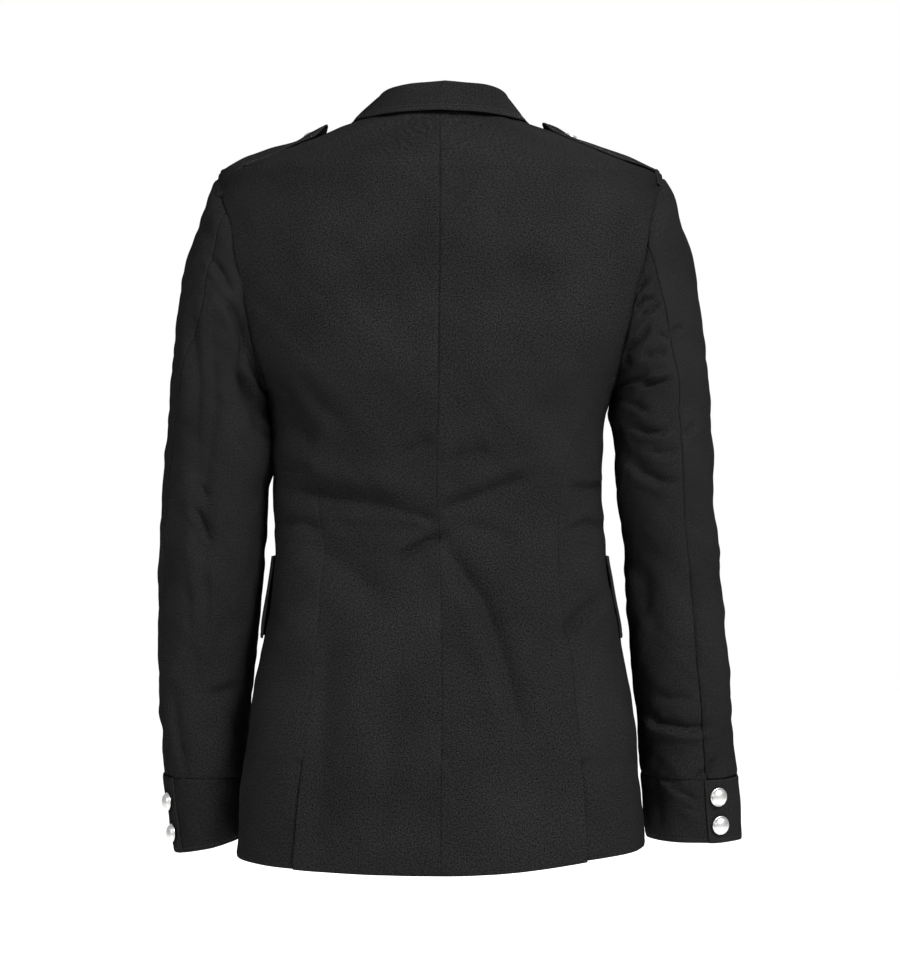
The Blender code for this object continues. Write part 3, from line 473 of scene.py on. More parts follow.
def black_twill():
    """Black cotton twill, piece-dyed and pressed: matt, a little lighter along worn edges, with fine diagonal
    wales.  The real wales are 0.5 mm apart and are drawn 1.3 mm apart, because finer ones would not show."""
    material, tree, shader = new_material("black_cotton_twill")
    cloth = add(tree, "ShaderNodeUVMap", {"uv_map": "cloth"}).outputs["UV"]
    turned = add(tree, "ShaderNodeMapping", {"Rotation": (0.0, 0.0, math.radians(27.0))}, Vector=cloth)
    wales = add(tree, "ShaderNodeTexWave", {"Scale": 0.314 / 0.0013, "Distortion": 1.6, "Detail": 2.0,
                                            "Detail Scale": 3.0}, Vector=turned.outputs["Vector"])
    yarn = add(tree, "ShaderNodeTexNoise", {"Scale": 1.0 / 0.0014, "Detail": 2.0, "Roughness": 0.7},
               Vector=cloth)
    slubs = add(tree, "ShaderNodeTexNoise", {"Scale": 1.0 / 0.0045, "Detail": 3.0, "Roughness": 0.62},
                Vector=cloth)
    broad = add(tree, "ShaderNodeTexNoise", {"Scale": 1.0 / 0.090, "Detail": 2.0}, Vector=cloth)
    worn = add(tree, "ShaderNodeAttribute", {"attribute_name": "edge_wear"})

    speck = add(tree, "ShaderNodeMapRange", {"From Min": 0.32, "From Max": 0.70}, Value=yarn.outputs["Fac"])
    tone = add(tree, "ShaderNodeMix", {"data_type": "RGBA", 6: from_hex("#040404"), 7: from_hex("#1c1c1c")},
               Factor=speck.outputs["Result"])
    cloudy = add(tree, "ShaderNodeMapRange",
                 {"From Min": 0.30, "From Max": 0.70, "To Min": 0.86, "To Max": 1.14},
                 Value=broad.outputs["Fac"])
    uneven = add(tree, "ShaderNodeVectorMath", {"operation": "SCALE"}, _0=tone.outputs[2],
                 Scale=cloudy.outputs["Result"])
    rubbed = add(tree, "ShaderNodeMath", {"operation": "MULTIPLY"}, _0=worn.outputs["Fac"],
                 _1=slubs.outputs["Fac"])
    colour = add(tree, "ShaderNodeMix", {"data_type": "RGBA", 7: from_hex("#1c1c1c")},
                 Factor=rubbed.outputs["Value"], _6=uneven.outputs["Vector"])
    rough = add(tree, "ShaderNodeMapRange", {"To Min": 0.74, "To Max": 0.94}, Value=slubs.outputs["Fac"])

    crumple = add(tree, "ShaderNodeBump", {"Strength": 0.45, "Distance": 0.0006}, Height=slubs.outputs["Fac"])
    thread = add(tree, "ShaderNodeMath", {"operation": "MULTIPLY_ADD", 1: 0.9}, _0=yarn.outputs["Fac"],
                 _2=wales.outputs["Fac"])
    weave = add(tree, "ShaderNodeBump", {"Strength": 0.45, "Distance": 0.0005},
                Height=thread.outputs["Value"], Normal=crumple.outputs["Normal"])
    wire(tree, shader, {"Specular IOR Level": 0.0}, Base_Color=colour.outputs[2],
         Roughness=rough.outputs["Result"], Normal=weave.outputs["Normal"])
    return material


twill = black_twill()


def make_object(mesh, name, material):
    """Turn a finished bmesh into a smooth object of the scene, in its material."""
    data = bpy.data.meshes.new(name)
    mesh.to_mesh(data)
    mesh.free()
    data.shade_smooth()
    data.materials.append(material)
    made = bpy.data.objects.new(name, data)
    bpy.context.scene.collection.objects.link(made)
    return made


def unit(vectors):
    """Vectors brought to a length of 1."""
    return vectors / np.maximum(np.linalg.norm(vectors, axis=-1, keepdims=True), 1e-12)


def cloth_normals(places):
    """Unit normals of cloth given as rows of places."""
    return unit(np.cross(np.gradient(places, axis=1), np.gradient(places, axis=0)))


def cut_piece(name, places, outward, relief, worn_edges=(2,)):
    """Make a cut piece of cloth from rows of places, raised by its relief, with a wall on its inner side.  It
    returns the piece with its places and normals, so that stitching can follow them."""
    normals = cloth_normals(places)
    way = -1.0 if np.sum(normals * outward) < 0.0 else 1.0
    distances = edge_distances(places)
    places = places + way * normals * relief(places, way * normals, *distances)[..., None]
    normals = way * cloth_normals(places)
    rows, columns = places.shape[:2]
    mesh = bmesh.new()
    bmesh.ops.create_grid(mesh, x_segments=columns - 1, y_segments=rows - 1, size=1.0)
    cloth = mesh.loops.layers.uv.new("cloth")
    wear = mesh.verts.layers.float.new("edge_wear")
    nearest = np.min([distances[k] for k in worn_edges], axis=0) if worn_edges else np.ones((rows, columns))
    rubbed = 0.6 * bump(nearest, 0.0016)
    width, length = distances[0], distances[2]
    width = width - width[:, -1:] / 2.0 + 0.37 * len(bpy.data.meshes)
    for vertex in mesh.verts:
        column = round((vertex.co.x + 1.0) / 2.0 * (columns - 1))
        row = round((vertex.co.y + 1.0) / 2.0 * (rows - 1))
        vertex.index = row * columns + column
        vertex.co = places[row, column]
        vertex[wear] = rubbed[row, column]
    for face in mesh.faces:
        for loop in face.loops:
            row, column = divmod(loop.vert.index, columns)
            loop[cloth].uv = (width[row, column], length[row, column])
    if way < 0.0:
        bmesh.ops.reverse_faces(mesh, faces=mesh.faces)
    piece = make_object(mesh, name, twill)
    wall = piece.modifiers.new("wall", "SOLIDIFY")
    wall.thickness = cloth_thickness
    wall.offset = -1.0
    wall.use_even_offset = False
    return piece, places, normals


def cloth_facts(piece, node):
    """Hide the solid that the piece stands for, and hang the piece on the root body that it rides on."""
    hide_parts(node)
    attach(piece, "root")


# Turns of the body where the side seams reach the hem
hem_turns = {"back": 60.0, "front": 120.0}
vent_top = -0.6000
vent_fade = 0.030
vent_underlap = 0.022
armhole_fade = 0.010


def by_armhole(height):
    """1 beside the armhole, fading to 0 below and above it."""
    return ease((height - seam_join) / armhole_fade) * ease((shoulder_point - height) / armhole_fade)


def armhole_pucker(distance, along, height, waves, spacing=0.009):
    """Puckers of a seam that goes on into the armhole, where they are fuller."""
    return pucker(distance, along, waves, spacing) * (0.35 + 0.65 * by_armhole(height))


for side in sides:
    u, v = np.meshgrid(shares(80), shares(260, 0.25))
    height = row_height(v, hem_height(side, hem_turns["back"] * u))
    inner = turn_at_share(seam_half / body_size("half_width", height), height)
    places = body_form(blend(inner, outer_turn(side, height, True), u) * sides[side], height)

    def back_relief(places, normals, start, end, low, high):
        """Seam in the middle, a soft edge over the side vent, and the armhole seam."""
        height = places[..., 2]
        out = body_relief(places, normals) + hem_relief(low)
        out += seam_roll(start, 0.00018, 0.0011) + 0.0002 * ease((0.014 - start) / 0.004)
        out += pucker(start, low, 0.00018, 0.011)
        vent = ease((vent_top - height) / vent_fade)
        sewn = seam_roll(end, blend(0.00035, 0.0008, by_armhole(height)), 0.0014)
        sewn += armhole_pucker(end, low, height, 0.00035)
        return out + sewn * (1.0 - vent) + 0.0022 * vent * bump(end, vent_underlap) + seam_roll(high, 0.0006)

    piece, _, _ = cut_piece("back_panel_" + side, places, (0.0, 1.0, 0.0), back_relief)
    cloth_facts(piece, "back_" + side)

# Side panels: one under each arm, from the seam behind the armhole to the seam in front of it.  Each runs on
# under the back panel below the hip, as the underlap of a short side vent.
underlap_top = vent_top - 0.002
underlap_fade = 0.012


def side_top(side, u):
    """Height of a side panel's upper edge, the floor of the armhole, at shares of its width."""
    def below(height):
        turn = blend(side_seam_turn(height, True), side_seam_turn(height, False), u)
        edge_back, edge_front = (np.interp(height, *armholes[side, is_back][:2]) for is_back in (True, False))
        return np.where(turn < 90.0, (turn < edge_back) | (abs(edge_back - 90.0) < 0.5),
                        (turn > edge_front) | (abs(edge_front - 90.0) < 0.5))

    return last_place(np.full_like(u, armhole_floor), np.full_like(u, seam_join), below) - 0.0004


for side in sides:
    across = shares(44)
    u, v = np.meshgrid(across, shares(170, 0.3))
    tops = side_top(side, across)
    tops[0] = tops[-1] = seam_join
    plain = row_height(v * lower_rows, hem_height(side, blend(hem_turns["back"], hem_turns["front"], u)))
    height = plain + (tops - seam_join)[None, :] * v ** 4
    under = vent_underlap * ease((underlap_top - height) / underlap_fade)
    start = along_body(side_seam_turn(height, True), height, seam_half - under)
    end = along_body(side_seam_turn(height, False), height, -seam_half)
    places = body_form(blend(start, end, u) * sides[side], height)

    def side_relief(places, normals, start, end, low, high):
        """Seams on both sides, and the underlap of the vent, which lies deeper."""
        under = ease((underlap_top - places[..., 2]) / underlap_fade)
        out = body_relief(places, normals) + hem_relief(low)
        out += seam_roll(start, 0.00035, 0.0014) * (1.0 - under)
        out -= 0.0032 * under * ease((vent_underlap + 0.004 - start) / 0.008)
        out += pucker(start, low, 0.0003, 0.009) * (1.0 - under)
        out += seam_roll(end, 0.0005, 0.0014) + pucker(end, low, 0.00025, 0.010)
        return out + seam_roll(high, 0.0008)

    piece, _, _ = cut_piece("side_panel_" + side, places, (sides[side], 0.0, 0.0), side_relief)
    cloth_facts(piece, "side_" + side)

# Fronts: one panel each side, from the side seam to the buttoned edge.  Above the top button each turns over
# as a lapel along its roll line.  The left front laps over the right, and its edge is stitched 5 mm in.
overlap = 0.0180
break_height = -0.3150
roll_top = -0.0040
roll_top_x = 0.0660
layer = cloth_thickness + 0.0006
underlap_depth = 2.0 * layer + 0.0008
front_stitch_inset = 0.0050
front_widest = 0.955

# The right front dips under the left one, up to this far from the middle and from this height down
dip_reach = 0.060
dip_top = -0.110
dip_fade = 0.070


def roll_x(height):
    """How far a front edge lies on its own side of the middle: negative past the middle."""
    share = np.clip((height - break_height) / (roll_top - break_height), 0.0, 1.0)
    return blend(-overlap, roll_top_x, share)


def front_turn(across_x, height):
    """The turn of a place on a front by its distance from the middle."""
    share = np.minimum(across_x / body_size("half_width", height), front_widest)
    return turn_at_share(share, height, front=True)


def stitch_groove(distance, inset, depth=0.0003, reach=0.0012):
    """The line that a row of topstitching presses into the cloth."""
    return -depth * bump(distance - inset, reach)


def front_form(side, turn, height):
    """Places on a front.  By the front edge the right front lies under the left one."""
    places = body_form(turn * sides[side], height)
    if side == "right":
        across_x = -(places[..., 0] - body_size("shift", height))
        under = ease((dip_reach - across_x) / (dip_reach / 2.0)) * ease((dip_top - height) / dip_fade)
        places = places + np.array((0.0, 1.0, 0.0)) * (underlap_depth * under)[..., None]
    return places


fronts = {}
for side in sides:
    u, v = np.meshgrid(shares(64), shares(206, 0.25))
    height = row_height(v, hem_height(side, blend(hem_turns["front"], 180.0, u)))
    outer = outer_turn(side, height, False)
    inner = front_turn(roll_x(height), height)
    places = front_form(side, blend(outer, inner, u), height)

    def front_relief(places, normals, start, end, low, high):
        """Side seam and armhole seam, and the stitched edge below the lapel."""
        height = places[..., 2]
        out = body_relief(places, normals) * ease(end / 0.030 + 0.25) + hem_relief(low)
        out += seam_roll(start) + armhole_pucker(start, low, height, 0.0003)
        edge = seam_roll(end, 0.0007) + stitch_groove(end, front_stitch_inset)
        return out + edge * ease((break_height - height) / 0.010) + seam_roll(high, 0.0006)

    fronts[side] = cut_piece("front_panel_" + side, places, (0.0, -1.0, 0.0), front_relief, (1, 2))
    cloth_facts(fronts[side][0], "front_" + side)

# Lapels: the turned-over tops of the fronts with their facings.  Each rolls softly over at the front edge and
# lies on the front, with a straight outer edge that ends in a notch under the collar, stitched 5 mm in.
lapel_top_inner = -0.0400
lapel_top_outer = -0.0780
lapel_width = 0.0760
lapel_lift = cloth_thickness + 0.0009
lapel_crown = 0.0025
lapel_foot = {"left": -0.3110, "right": -0.3020}
lapel_stitch_inset = 0.0050
lapel_roll_cells = 10
lapels = {}
for side in sides:
    flat_shares = shares(40)
    roll_shares = np.linspace(0.0, 1.0, lapel_roll_cells + 1)[:-1]
    u, v = np.meshgrid(np.concatenate((np.zeros(lapel_roll_cells), flat_shares)), shares(120, 0.5))
    bend = np.broadcast_to(np.concatenate((roll_shares, np.ones(len(flat_shares)))), u.shape)
    height = blend(lapel_foot[side], blend(lapel_top_inner, lapel_top_outer, u), v)
    way = np.minimum((height - break_height) / (lapel_top_outer - break_height), 1.0)
    width = lapel_width * ease(0.08 + 0.92 * way) ** 0.7
    across_x = roll_x(height) + 0.001 + u * width
    places = front_form(side, front_turn(across_x, height), height)
    inward = unit(front_form(side, front_turn(across_x - 0.001, height), height) - places)
    level = np.cross(inward, (0.0, 0.0, 1.0))
    level = unit(level * -np.sign(level[..., 1:2]))
    crown = lapel_crown * np.sin(math.pi * np.minimum(u + 0.05, 1.0)) * (1.0 - 0.6 * u)
    crown *= ease((height - break_height - 0.060) / 0.060)
    behind = -cloth_thickness - 0.0008
    off_foot = ease((height - lapel_foot[side]) / 0.020)
    lift = blend(behind, lapel_lift, (1.0 - np.cos(np.pi * bend)) / 2.0) + crown * (bend >= 1.0)
    lift = np.where(bend >= 1.0, lift, blend(lapel_lift - 0.0002, lift, off_foot))
    reach = (lapel_lift - behind) / 2.0 * np.sin(np.pi * bend) * off_foot
    places = places + level * lift[..., None] + inward * reach[..., None]

    def lapel_relief(places, normals, start, end, low, high):
        """Stitched and pressed outer and upper edges, and a slight wave."""
        wave = unevenness(places, 0.055, 0.0006, 1.0) * ease((places[..., 2] + 0.25) / 0.04)
        edges = seam_roll(end, 0.0006) + seam_roll(high, 0.0006)
        return stitch_groove(np.minimum(end, high), lapel_stitch_inset) + edges + wave

    lapels[side] = cut_piece("lapel_piece_" + side, places, (0.0, -1.0, 0.0), lapel_relief, (1, 3))
    cloth_facts(lapels[side][0], "lapel_" + side)

# Sleeves: each is cut in two, a wide top sleeve and a narrower under sleeve, with one seam down the back of
# the arm and one inside.  They are set into the armhole with some fullness, and crease where the arm bends.
sleeve_seam_columns = ("height", "turn")
sleeve_seam_rows = {
    "left": ((-0.090, 66.0), (-0.127, 66.0), (-0.180, 66.0), (-0.225, 58.0), (-0.277, 46.0), (-0.318, 40.0),
             (-0.365, 36.0), (-0.520, 30.0), (-0.640, 36.0)),
    "right": ((-0.127, 88.0), (-0.160, 83.0), (-0.235, 79.0), (-0.277, 78.0), (-0.640, 76.0)),
}
top_sleeve_sweep = 172.0
forearm_top = -0.480
forearm_fade = 0.080
sleeve_allowance = 0.008
allowance_shares = (0.12, 0.3, 0.6, 1.0)
sleeve_back_folds = {
    "left": (
        (((188, -247), (180, -262), (171, -280)), 3.0, 4.0, -1.8),
        (((174, -292), (168, -302), (163, -312)), 3.0, 3.4, -1.4),
        (((228, -353), (220, -367)), 3.4, 4.4, 1.6),
        (((232, -376), (226, -386), (220, -396)), 3.4, 4.8, 1.8),
        (((223, -391), (217, -411)), 3.4, 4.8, 1.6),
        (((218, -138), (209, -149), (194, -172)), 4.2, 5.0, 2.0),
        (((206, -179), (193, -192), (185, -210), (183, -224), (187, -250)), 5.0, 8.4, 3.4),
        (((188, -246), (179, -270), (171, -284), (166, -306)), 5.2, 9.0, -4.0),
        (((178, -222), (174, -250), (170, -268)), 4.0, 3.6, 1.4),
        (((236, -179), (226, -255), (229, -340), (226, -406)), 7.5, 4.4, 1.8),
        (((214, -199), (210, -274), (221, -349), (218, -410)), 7.5, 4.7, 1.8),
        (((226, -377), (222, -472), (227, -522)), 6.5, 4.8, 2.2),
        (((191, -547), (206, -552), (225, -557)), 6.0, 2.4, 1.2),
        (((199, -425), (208, -502), (220, -550)), 10.0, 4.2, 0.0),
        (((241, -433), (236, -501), (231, -559)), 6.0, 2.9, 0.0),
        (((257, -551), (252, -599), (244, -634)), 5.0, 3.5, 1.7),
    ),
    "right": (
        (((-183, -175), (-190, -166), (-199, -159)), 2.6, 4.2, 1.8),
        (((-182, -190), (-191, -180), (-205, -178)), 2.6, 4.2, -1.8),
        (((-188, -195), (-197, -191), (-207, -183)), 2.6, 4.5, 1.8),
        (((-197, -204), (-188, -218), (-173, -230)), 2.8, 6.0, 2.7),
        (((-171, -232), (-180, -242)), 2.4, 4.2, 1.8),
        (((-190, -233), (-202, -232), (-214, -230)), 4.6, 5.1, 2.7),
        (((-166, -259), (-187, -256), (-199, -249)), 2.8, 5.7, 2.7),
        (((-187, -260), (-204, -258), (-218, -254)), 3.1, 6.0, -3.3),
        (((-176, -275), (-187, -281), (-197, -287)), 2.8, 4.8, 2.1),
        (((-178, -295), (-192, -304), (-207, -305), (-218, -299)), 3.3, 5.7, 3.0),
        (((-231, -308), (-242, -294)), 3.3, 4.8, 2.4),
        (((-204, -212), (-216, -218)), 2.6, 3.6, 1.5),
        (((-216, -211), (-231, -204)), 2.9, 4.2, 1.8),
        (((-163, -292), (-170, -302), (-178, -327)), 2.9, 5.4, -2.4),
        (((-195, -322), (-209, -325), (-224, -321)), 3.7, 4.2, 2.1),
        (((-177, -320), (-191, -341), (-207, -351), (-227, -353)), 4.6, 5.4, 2.7),
        (((-182, -420), (-192, -446), (-196, -486)), 5.5, 4.5, 2.1),
        (((-196, -568), (-209, -583), (-239, -588), (-265, -586)), 4.6, 6.9, 4.2),
        (((-202, -551), (-218, -559), (-248, -559)), 6.4, 4.2, 0.0),
        (((-243, -637), (-255, -630), (-269, -616)), 2.9, 4.5, 2.1),
        (((-236, -368), (-238, -463), (-246, -549)), 8.3, 3.6, 0.0),
        (((-190, -387), (-200, -463), (-206, -540)), 12.9, 3.0, 0.8),
        (((-220, -645), (-236, -652), (-250, -661)), 3.0, 3.0, 2.0),
        (((-209, -637), (-222, -641), (-232, -640)), 3.4, 2.6, 1.2),
        (((-234, -664), (-244, -667), (-251, -669)), 3.0, 2.0, 1.2),
        (((-203, -632), (-207, -662), (-214, -692)), 9.0, 5.0, 2.0),
    ),
}
sleeve_front_folds = {
    "left": (
        (((246, -236), (222, -250), (186, -246)), 8.0, 4.5, 2.4),
        (((252, -300), (226, -318), (188, -306)), 8.0, 5.1, 2.7),
        (((256, -372), (228, -360), (190, -378)), 7.0, 4.2, 2.0),
        (((240, -420), (222, -500), (216, -560)), 12.0, 2.9, 0.0),
        (((262, -596), (232, -606), (200, -600)), 7.0, 3.8, 2.0),
    ),
    "right": (
        (((-246, -230), (-220, -246), (-186, -240)), 8.0, 4.5, 2.4),
        (((-252, -296), (-224, -312), (-188, -300)), 8.0, 5.1, 2.7),
        (((-256, -366), (-228, -354), (-190, -370)), 7.0, 4.2, 2.0),
        (((-242, -430), (-226, -505), (-222, -570)), 12.0, 2.9, 0.0),
        (((-276, -590), (-244, -602), (-206, -596)), 7.0, 3.8, 2.0),
    ),
}


def sleeve_form(side, turn, height):
    """Places on a sleeve: turn 0 looks away from the body, 90 to the back and 180 to the body."""
    middle_x, middle_y, half_width, half_depth = sleeve_ring(side, height)
    angle = np.radians(turn)
    across = signed_power(np.cos(angle), 2.0 / sleeve_squareness)
    deep = signed_power(np.sin(angle), 2.0 / sleeve_squareness)
    x = (middle_x + half_width * across) * sides[side]
    return np.stack(np.broadcast_arrays(x, middle_y + half_depth * deep, height), axis=-1)


def away_from_arm(side, places, height):
    """The way from the middle of the arm to places on the sleeve at a height."""
    middle_x, middle_y, _, _ = sleeve_ring(side, height)
    return places - np.stack(np.broadcast_arrays(middle_x * sides[side], middle_y, height), axis=-1)


def sleeve_top(side, offset):
    """Height where lines down the sleeve, given as turns from its back seam, leave the armhole."""
    def below(height):
        turn = follow(sleeve_seam_columns, sleeve_seam_rows[side], "turn", height) + offset
        turn = (turn + 180.0) % 360.0 - 180.0
        back, front = (np.interp(height, *armholes[side, is_back][::2]) for is_back in (True, False))
        return np.where(turn > 0.0, back, front) >= np.abs(turn)

    low, high = np.full_like(offset, armhole_floor), np.full_like(offset, shoulder_point - 0.001)
    return last_place(low, high, below) - 0.0003


def sleeve_relief(side):
    """Folds, puckers and unevenness of one sleeve."""
    def relief(places, normals, start, end, low, high):
        high = np.abs(high - sleeve_allowance)
        x, height = places[..., 0], places[..., 2]
        behind = facing(normals, (0.0, 1.0, 0.0), 0.2)
        ahead = facing(normals, (0.0, -1.0, 0.0), 0.2)
        inside = ease((high - 0.001) / 0.006)
        out = behind * inside * folded(sleeve_back_folds[side], x, height)
        out += ahead * inside * folded(sleeve_front_folds[side], x, height)
        out += (unevenness(places, 0.085, 0.0024, 3.0) + unevenness(places, 0.034, 0.0012, 5.0)) * inside
        out += seam_roll(start, blend(0.0010, 0.0020, ease((forearm_top - height) / forearm_fade)), 0.0016)
        out += seam_roll(end, 0.0008, 0.0016)
        out += pucker(start, low, 0.0003, 0.010) + pucker(end, low, 0.0003, 0.010)
        out += seam_roll(high, 0.0012) + pucker(high, start, 0.0005, 0.0085, 0.012)
        full = 0.0022 * bump(high - 0.020, 0.016) * ease((height + 0.16) / 0.05)
        return out + full + seam_roll(low, 0.0004)
    return relief


for side in sides:
    gap = math.degrees(seam_half / 0.05)
    parts = {
        "top_sleeve": (-top_sleeve_sweep, -gap, 74, 236, (0.26, 0.63), 0.096),
        "under_sleeve": (gap, 360.0 - top_sleeve_sweep - gap, 80, 248, (0.25, 0.56), 0.079),
    }
    for part, (start_offset, end_offset, columns, rows, flat, area) in parts.items():
        offsets = blend(start_offset, end_offset, shares(columns))
        tops = sleeve_top(side, offsets)
        offset, v = np.meshgrid(offsets, shares(rows, 0.3))
        height = blend(cuff_top, tops[None, :], 1.0 - (1.0 - v) ** 1.05)
        turn = follow(sleeve_seam_columns, sleeve_seam_rows[side], "turn", height) + offset
        places = sleeve_form(side, turn, height)
        outward = away_from_arm(side, places, height)
        into = np.array((-0.95 * sides[side], 0.0, -0.30)) * sleeve_allowance
        rise = np.array((0.0, 0.0, 0.0022)) * ease((height[-1:, :, None] + 0.090) / 0.030)
        turned_in = [places[-1:] + into * share + rise * math.sin(math.pi * share)
                     for share in allowance_shares]
        places = np.concatenate([places] + turned_in)
        outward = np.concatenate([outward] + [outward[-1:]] * len(turned_in))
        piece, _, _ = cut_piece(part + "_piece_" + side, places, outward, sleeve_relief(side), ())
        cloth_facts(piece, part + "_" + side)

# Cuffs: a band of doubled twill round each wrist.  It laps over itself at the back of the arm and is closed
# by two buttons; its edges are stitched 4 mm in.
cuff_lap = 46.0
cuff_edge_turn = {"left": 49.0, "right": 80.0}
cuff_bottom_inner = -0.6990
cuff_bottom_outer = {"left": -0.7140, "right": -0.6990}
cuff_stitch_inset = 0.0040
cuffs = {}


def cuff_form(side, turn, height, lift):
    """Places on a cuff band that stands off the sleeve's form by a lift, and the way it stands off."""
    here = sleeve_form(side, turn, height)
    level = unit(np.cross(sleeve_form(side, turn + 0.5, height) - here, (0.0, 0.0, 1.0)))
    level *= np.sign(np.sum(level * away_from_arm(side, here, height), axis=-1, keepdims=True))
    return here + level * np.asarray(lift)[..., None], level


for side in sides:
    turned_by = (360.0 + cuff_lap) * shares(190, 0.35)
    turned_by, v = np.meshgrid(turned_by, shares(30, 0.6))
    turn = cuff_edge_turn[side] - cuff_lap + turned_by
    bottom = blend(cuff_bottom_inner, cuff_bottom_outer[side], 0.5 + 0.5 * np.cos(np.radians(turn)))
    height = blend(bottom, cuff_top - 0.0003, v)
    lift = 0.0002 + layer * ease((turned_by - 300.0) / 60.0)
    places, level = cuff_form(side, turn, height, lift)

    def cuff_relief(places, normals, start, end, low, high):
        """Stitched edges, the sleeve's folds and a wave, except on the hidden end of the lap."""
        out = stitch_groove(np.minimum(low, end), cuff_stitch_inset) + seam_roll(end, 0.0006)
        out += seam_roll(low, 0.0007) + seam_roll(high, 0.0005, 0.0014)
        out += pucker(high, start, 0.0003, 0.009, 0.008)
        out += unevenness(places, 0.050, 0.0013, 4.0) * ease(high / 0.01)
        behind = facing(normals, (0.0, 1.0, 0.0), 0.2) * ease(start / 0.02)
        out += behind * folded(sleeve_back_folds[side], places[..., 0], places[..., 2])
        return out * ease(start / 0.004)

    cuffs[side] = cut_piece("cuff_band_" + side, places, level, cuff_relief, (1, 2))
    cloth_facts(cuffs[side][0], "cuff_" + side)

# Collar: one strip of doubled twill.  The stand rises round the neck, folds over in a soft roll and falls
# outside over the seam to a free edge, which is stitched twice, 3 and 6 mm in.
collar_columns = ("along", "x", "y", "z", "fold_up", "fold_in", "fall_out", "fall_drop")
collar_rows = (
    (0.00, 0.0000, 0.0592, 0.0000, 0.0275, 0.0060, 0.0115, 0.0022),
    (0.20, 0.0330, 0.0545, 0.0000, 0.0260, 0.0062, 0.0130, 0.0035),
    (0.40, 0.0590, 0.0360, 0.0000, 0.0230, 0.0070, 0.0150, 0.0052),
    (0.55, 0.0690, 0.0100, 0.0000, 0.0195, 0.0095, 0.0150, 0.0036),
    (0.70, 0.0683, -0.0200, 0.0000, 0.0180, 0.0110, 0.0200, 0.0005),
    (0.85, 0.0655, -0.0465, -0.0070, 0.0145, 0.0070, 0.0290, 0.0055),
    (1.00, 0.0592, -0.0728, -0.0285, 0.0095, 0.0030, 0.0400, 0.0080),
)
collar_fold_width = 0.0056
collar_lean = 0.0050 / 0.0275
collar_stitch_insets = (0.0030, 0.0060)
stand_end = 0.40
fold_end = 0.62


def collar_value(column, along):
    """Read one size of the collar at a share of its half-length from the middle of the back."""
    return follow(collar_columns, collar_rows, column, along)


def neck_line(along):
    """Places on the neck seam, seen from above."""
    return np.stack((collar_value("x", along), collar_value("y", along), np.zeros_like(along)), axis=-1)


def collar_form(u, v):
    """Places on the collar: u runs from its left end round the back, v from the seam to the free edge."""
    along = np.abs(2.0 * u - 1.0)
    step = 0.01
    here = neck_line(along)
    run = unit(np.where(along[..., None] < step, np.array((1.0, 0.0, 0.0)), here - neck_line(along - step)))
    outward = np.stack((-run[..., 1], run[..., 0], np.zeros_like(along)), axis=-1)
    seam = -cloth_thickness - 0.0003
    radius = collar_fold_width / 2.0
    fold_in = collar_value("fold_in", along)
    fold_base = collar_value("fold_up", along) - radius
    stand = np.clip(v / stand_end, 0.0, 1.0)
    bend = np.pi * np.clip((v - stand_end) / (fold_end - stand_end), 0.0, 1.0)
    fall = np.clip((v - fold_end) / (1.0 - fold_end), 0.0, 1.0)
    out = seam - fold_in * np.sin(math.pi / 2.0 * stand) + radius * (1.0 - np.cos(bend))
    out += (collar_value("fall_out", along) - (seam - fold_in + collar_fold_width)) * fall
    up = fold_base * stand + radius * np.sin(bend)
    up -= (collar_value("fall_drop", along) + fold_base) * fall ** 1.15
    places = here + outward * out[..., None]
    places[..., 0] *= np.where(u < 0.5, 1.0, -1.0)
    places[..., 0] -= collar_lean * np.maximum(up, 0.0)
    places[..., 2] = collar_value("z", along) + up
    return places


def collar_relief(places, normals, start, end, low, high):
    """Two stitched lines, pressed edges and a slight wave."""
    out = sum(stitch_groove(high, inset, 0.00035, 0.0010) for inset in collar_stitch_insets)
    out += seam_roll(np.minimum(np.minimum(start, end), high), 0.0006, 0.0012)
    return out + unevenness(places, 0.060, 0.0007, 2.5) * ease((low - 0.006) / 0.010)


u, v = np.meshgrid(np.linspace(0.0, 1.0, 241), shares(52, 0.3))
places = collar_form(u, v)
strip_side = np.cross(np.gradient(places, axis=1), np.gradient(places, axis=0))
away = (places - np.array((0.0, 0.0, -0.02))) * (v > 0.7)[..., None]
strip_side *= np.sign(np.sum(strip_side * away))
collar = cut_piece("collar_strip", places, strip_side, collar_relief, (0, 1, 3))
cloth_facts(collar[0], "collar")

# Shoulder straps: doubled and pointed tabs, sewn in at the sleeve and buttoned down beside the collar.  They
# are stitched round 4 mm in, and their pointed ends stand up a little from the shoulder.
strap_base_x = 0.2145
strap_tip_x = {"left": 0.1090, "right": 0.0990}
strap_columns = ("share", "back_edge", "front_edge", "lift")
strap_rows = {
    "left": (
        (0.00, 0.0270, -0.0240, 0.0000),
        (0.15, 0.0390, -0.0120, 0.0026),
        (0.30, 0.0470, -0.0040, 0.0048),
        (0.50, 0.0500, 0.0000, 0.0038),
        (0.73, 0.0420, -0.0070, 0.0012),
        (0.86, 0.0340, -0.0130, 0.0058),
        (1.00, 0.0280, -0.0180, 0.0102),
    ),
    "right": (
        (0.00, 0.0200, -0.0300, 0.0000),
        (0.15, 0.0280, -0.0220, 0.0026),
        (0.30, 0.0320, -0.0180, 0.0046),
        (0.55, 0.0340, -0.0150, 0.0030),
        (0.75, 0.0370, -0.0120, 0.0014),
        (0.90, 0.0370, -0.0110, 0.0062),
        (1.00, 0.0350, -0.0110, 0.0066),
    ),
}
strap_point = 0.0150
sleeve_head_top = -0.0576
strap_lift = cloth_thickness + 0.0003
strap_button_x = 0.1230
strap_button_across = -0.35
strap_stitch_inset = 0.0040
straps = {}


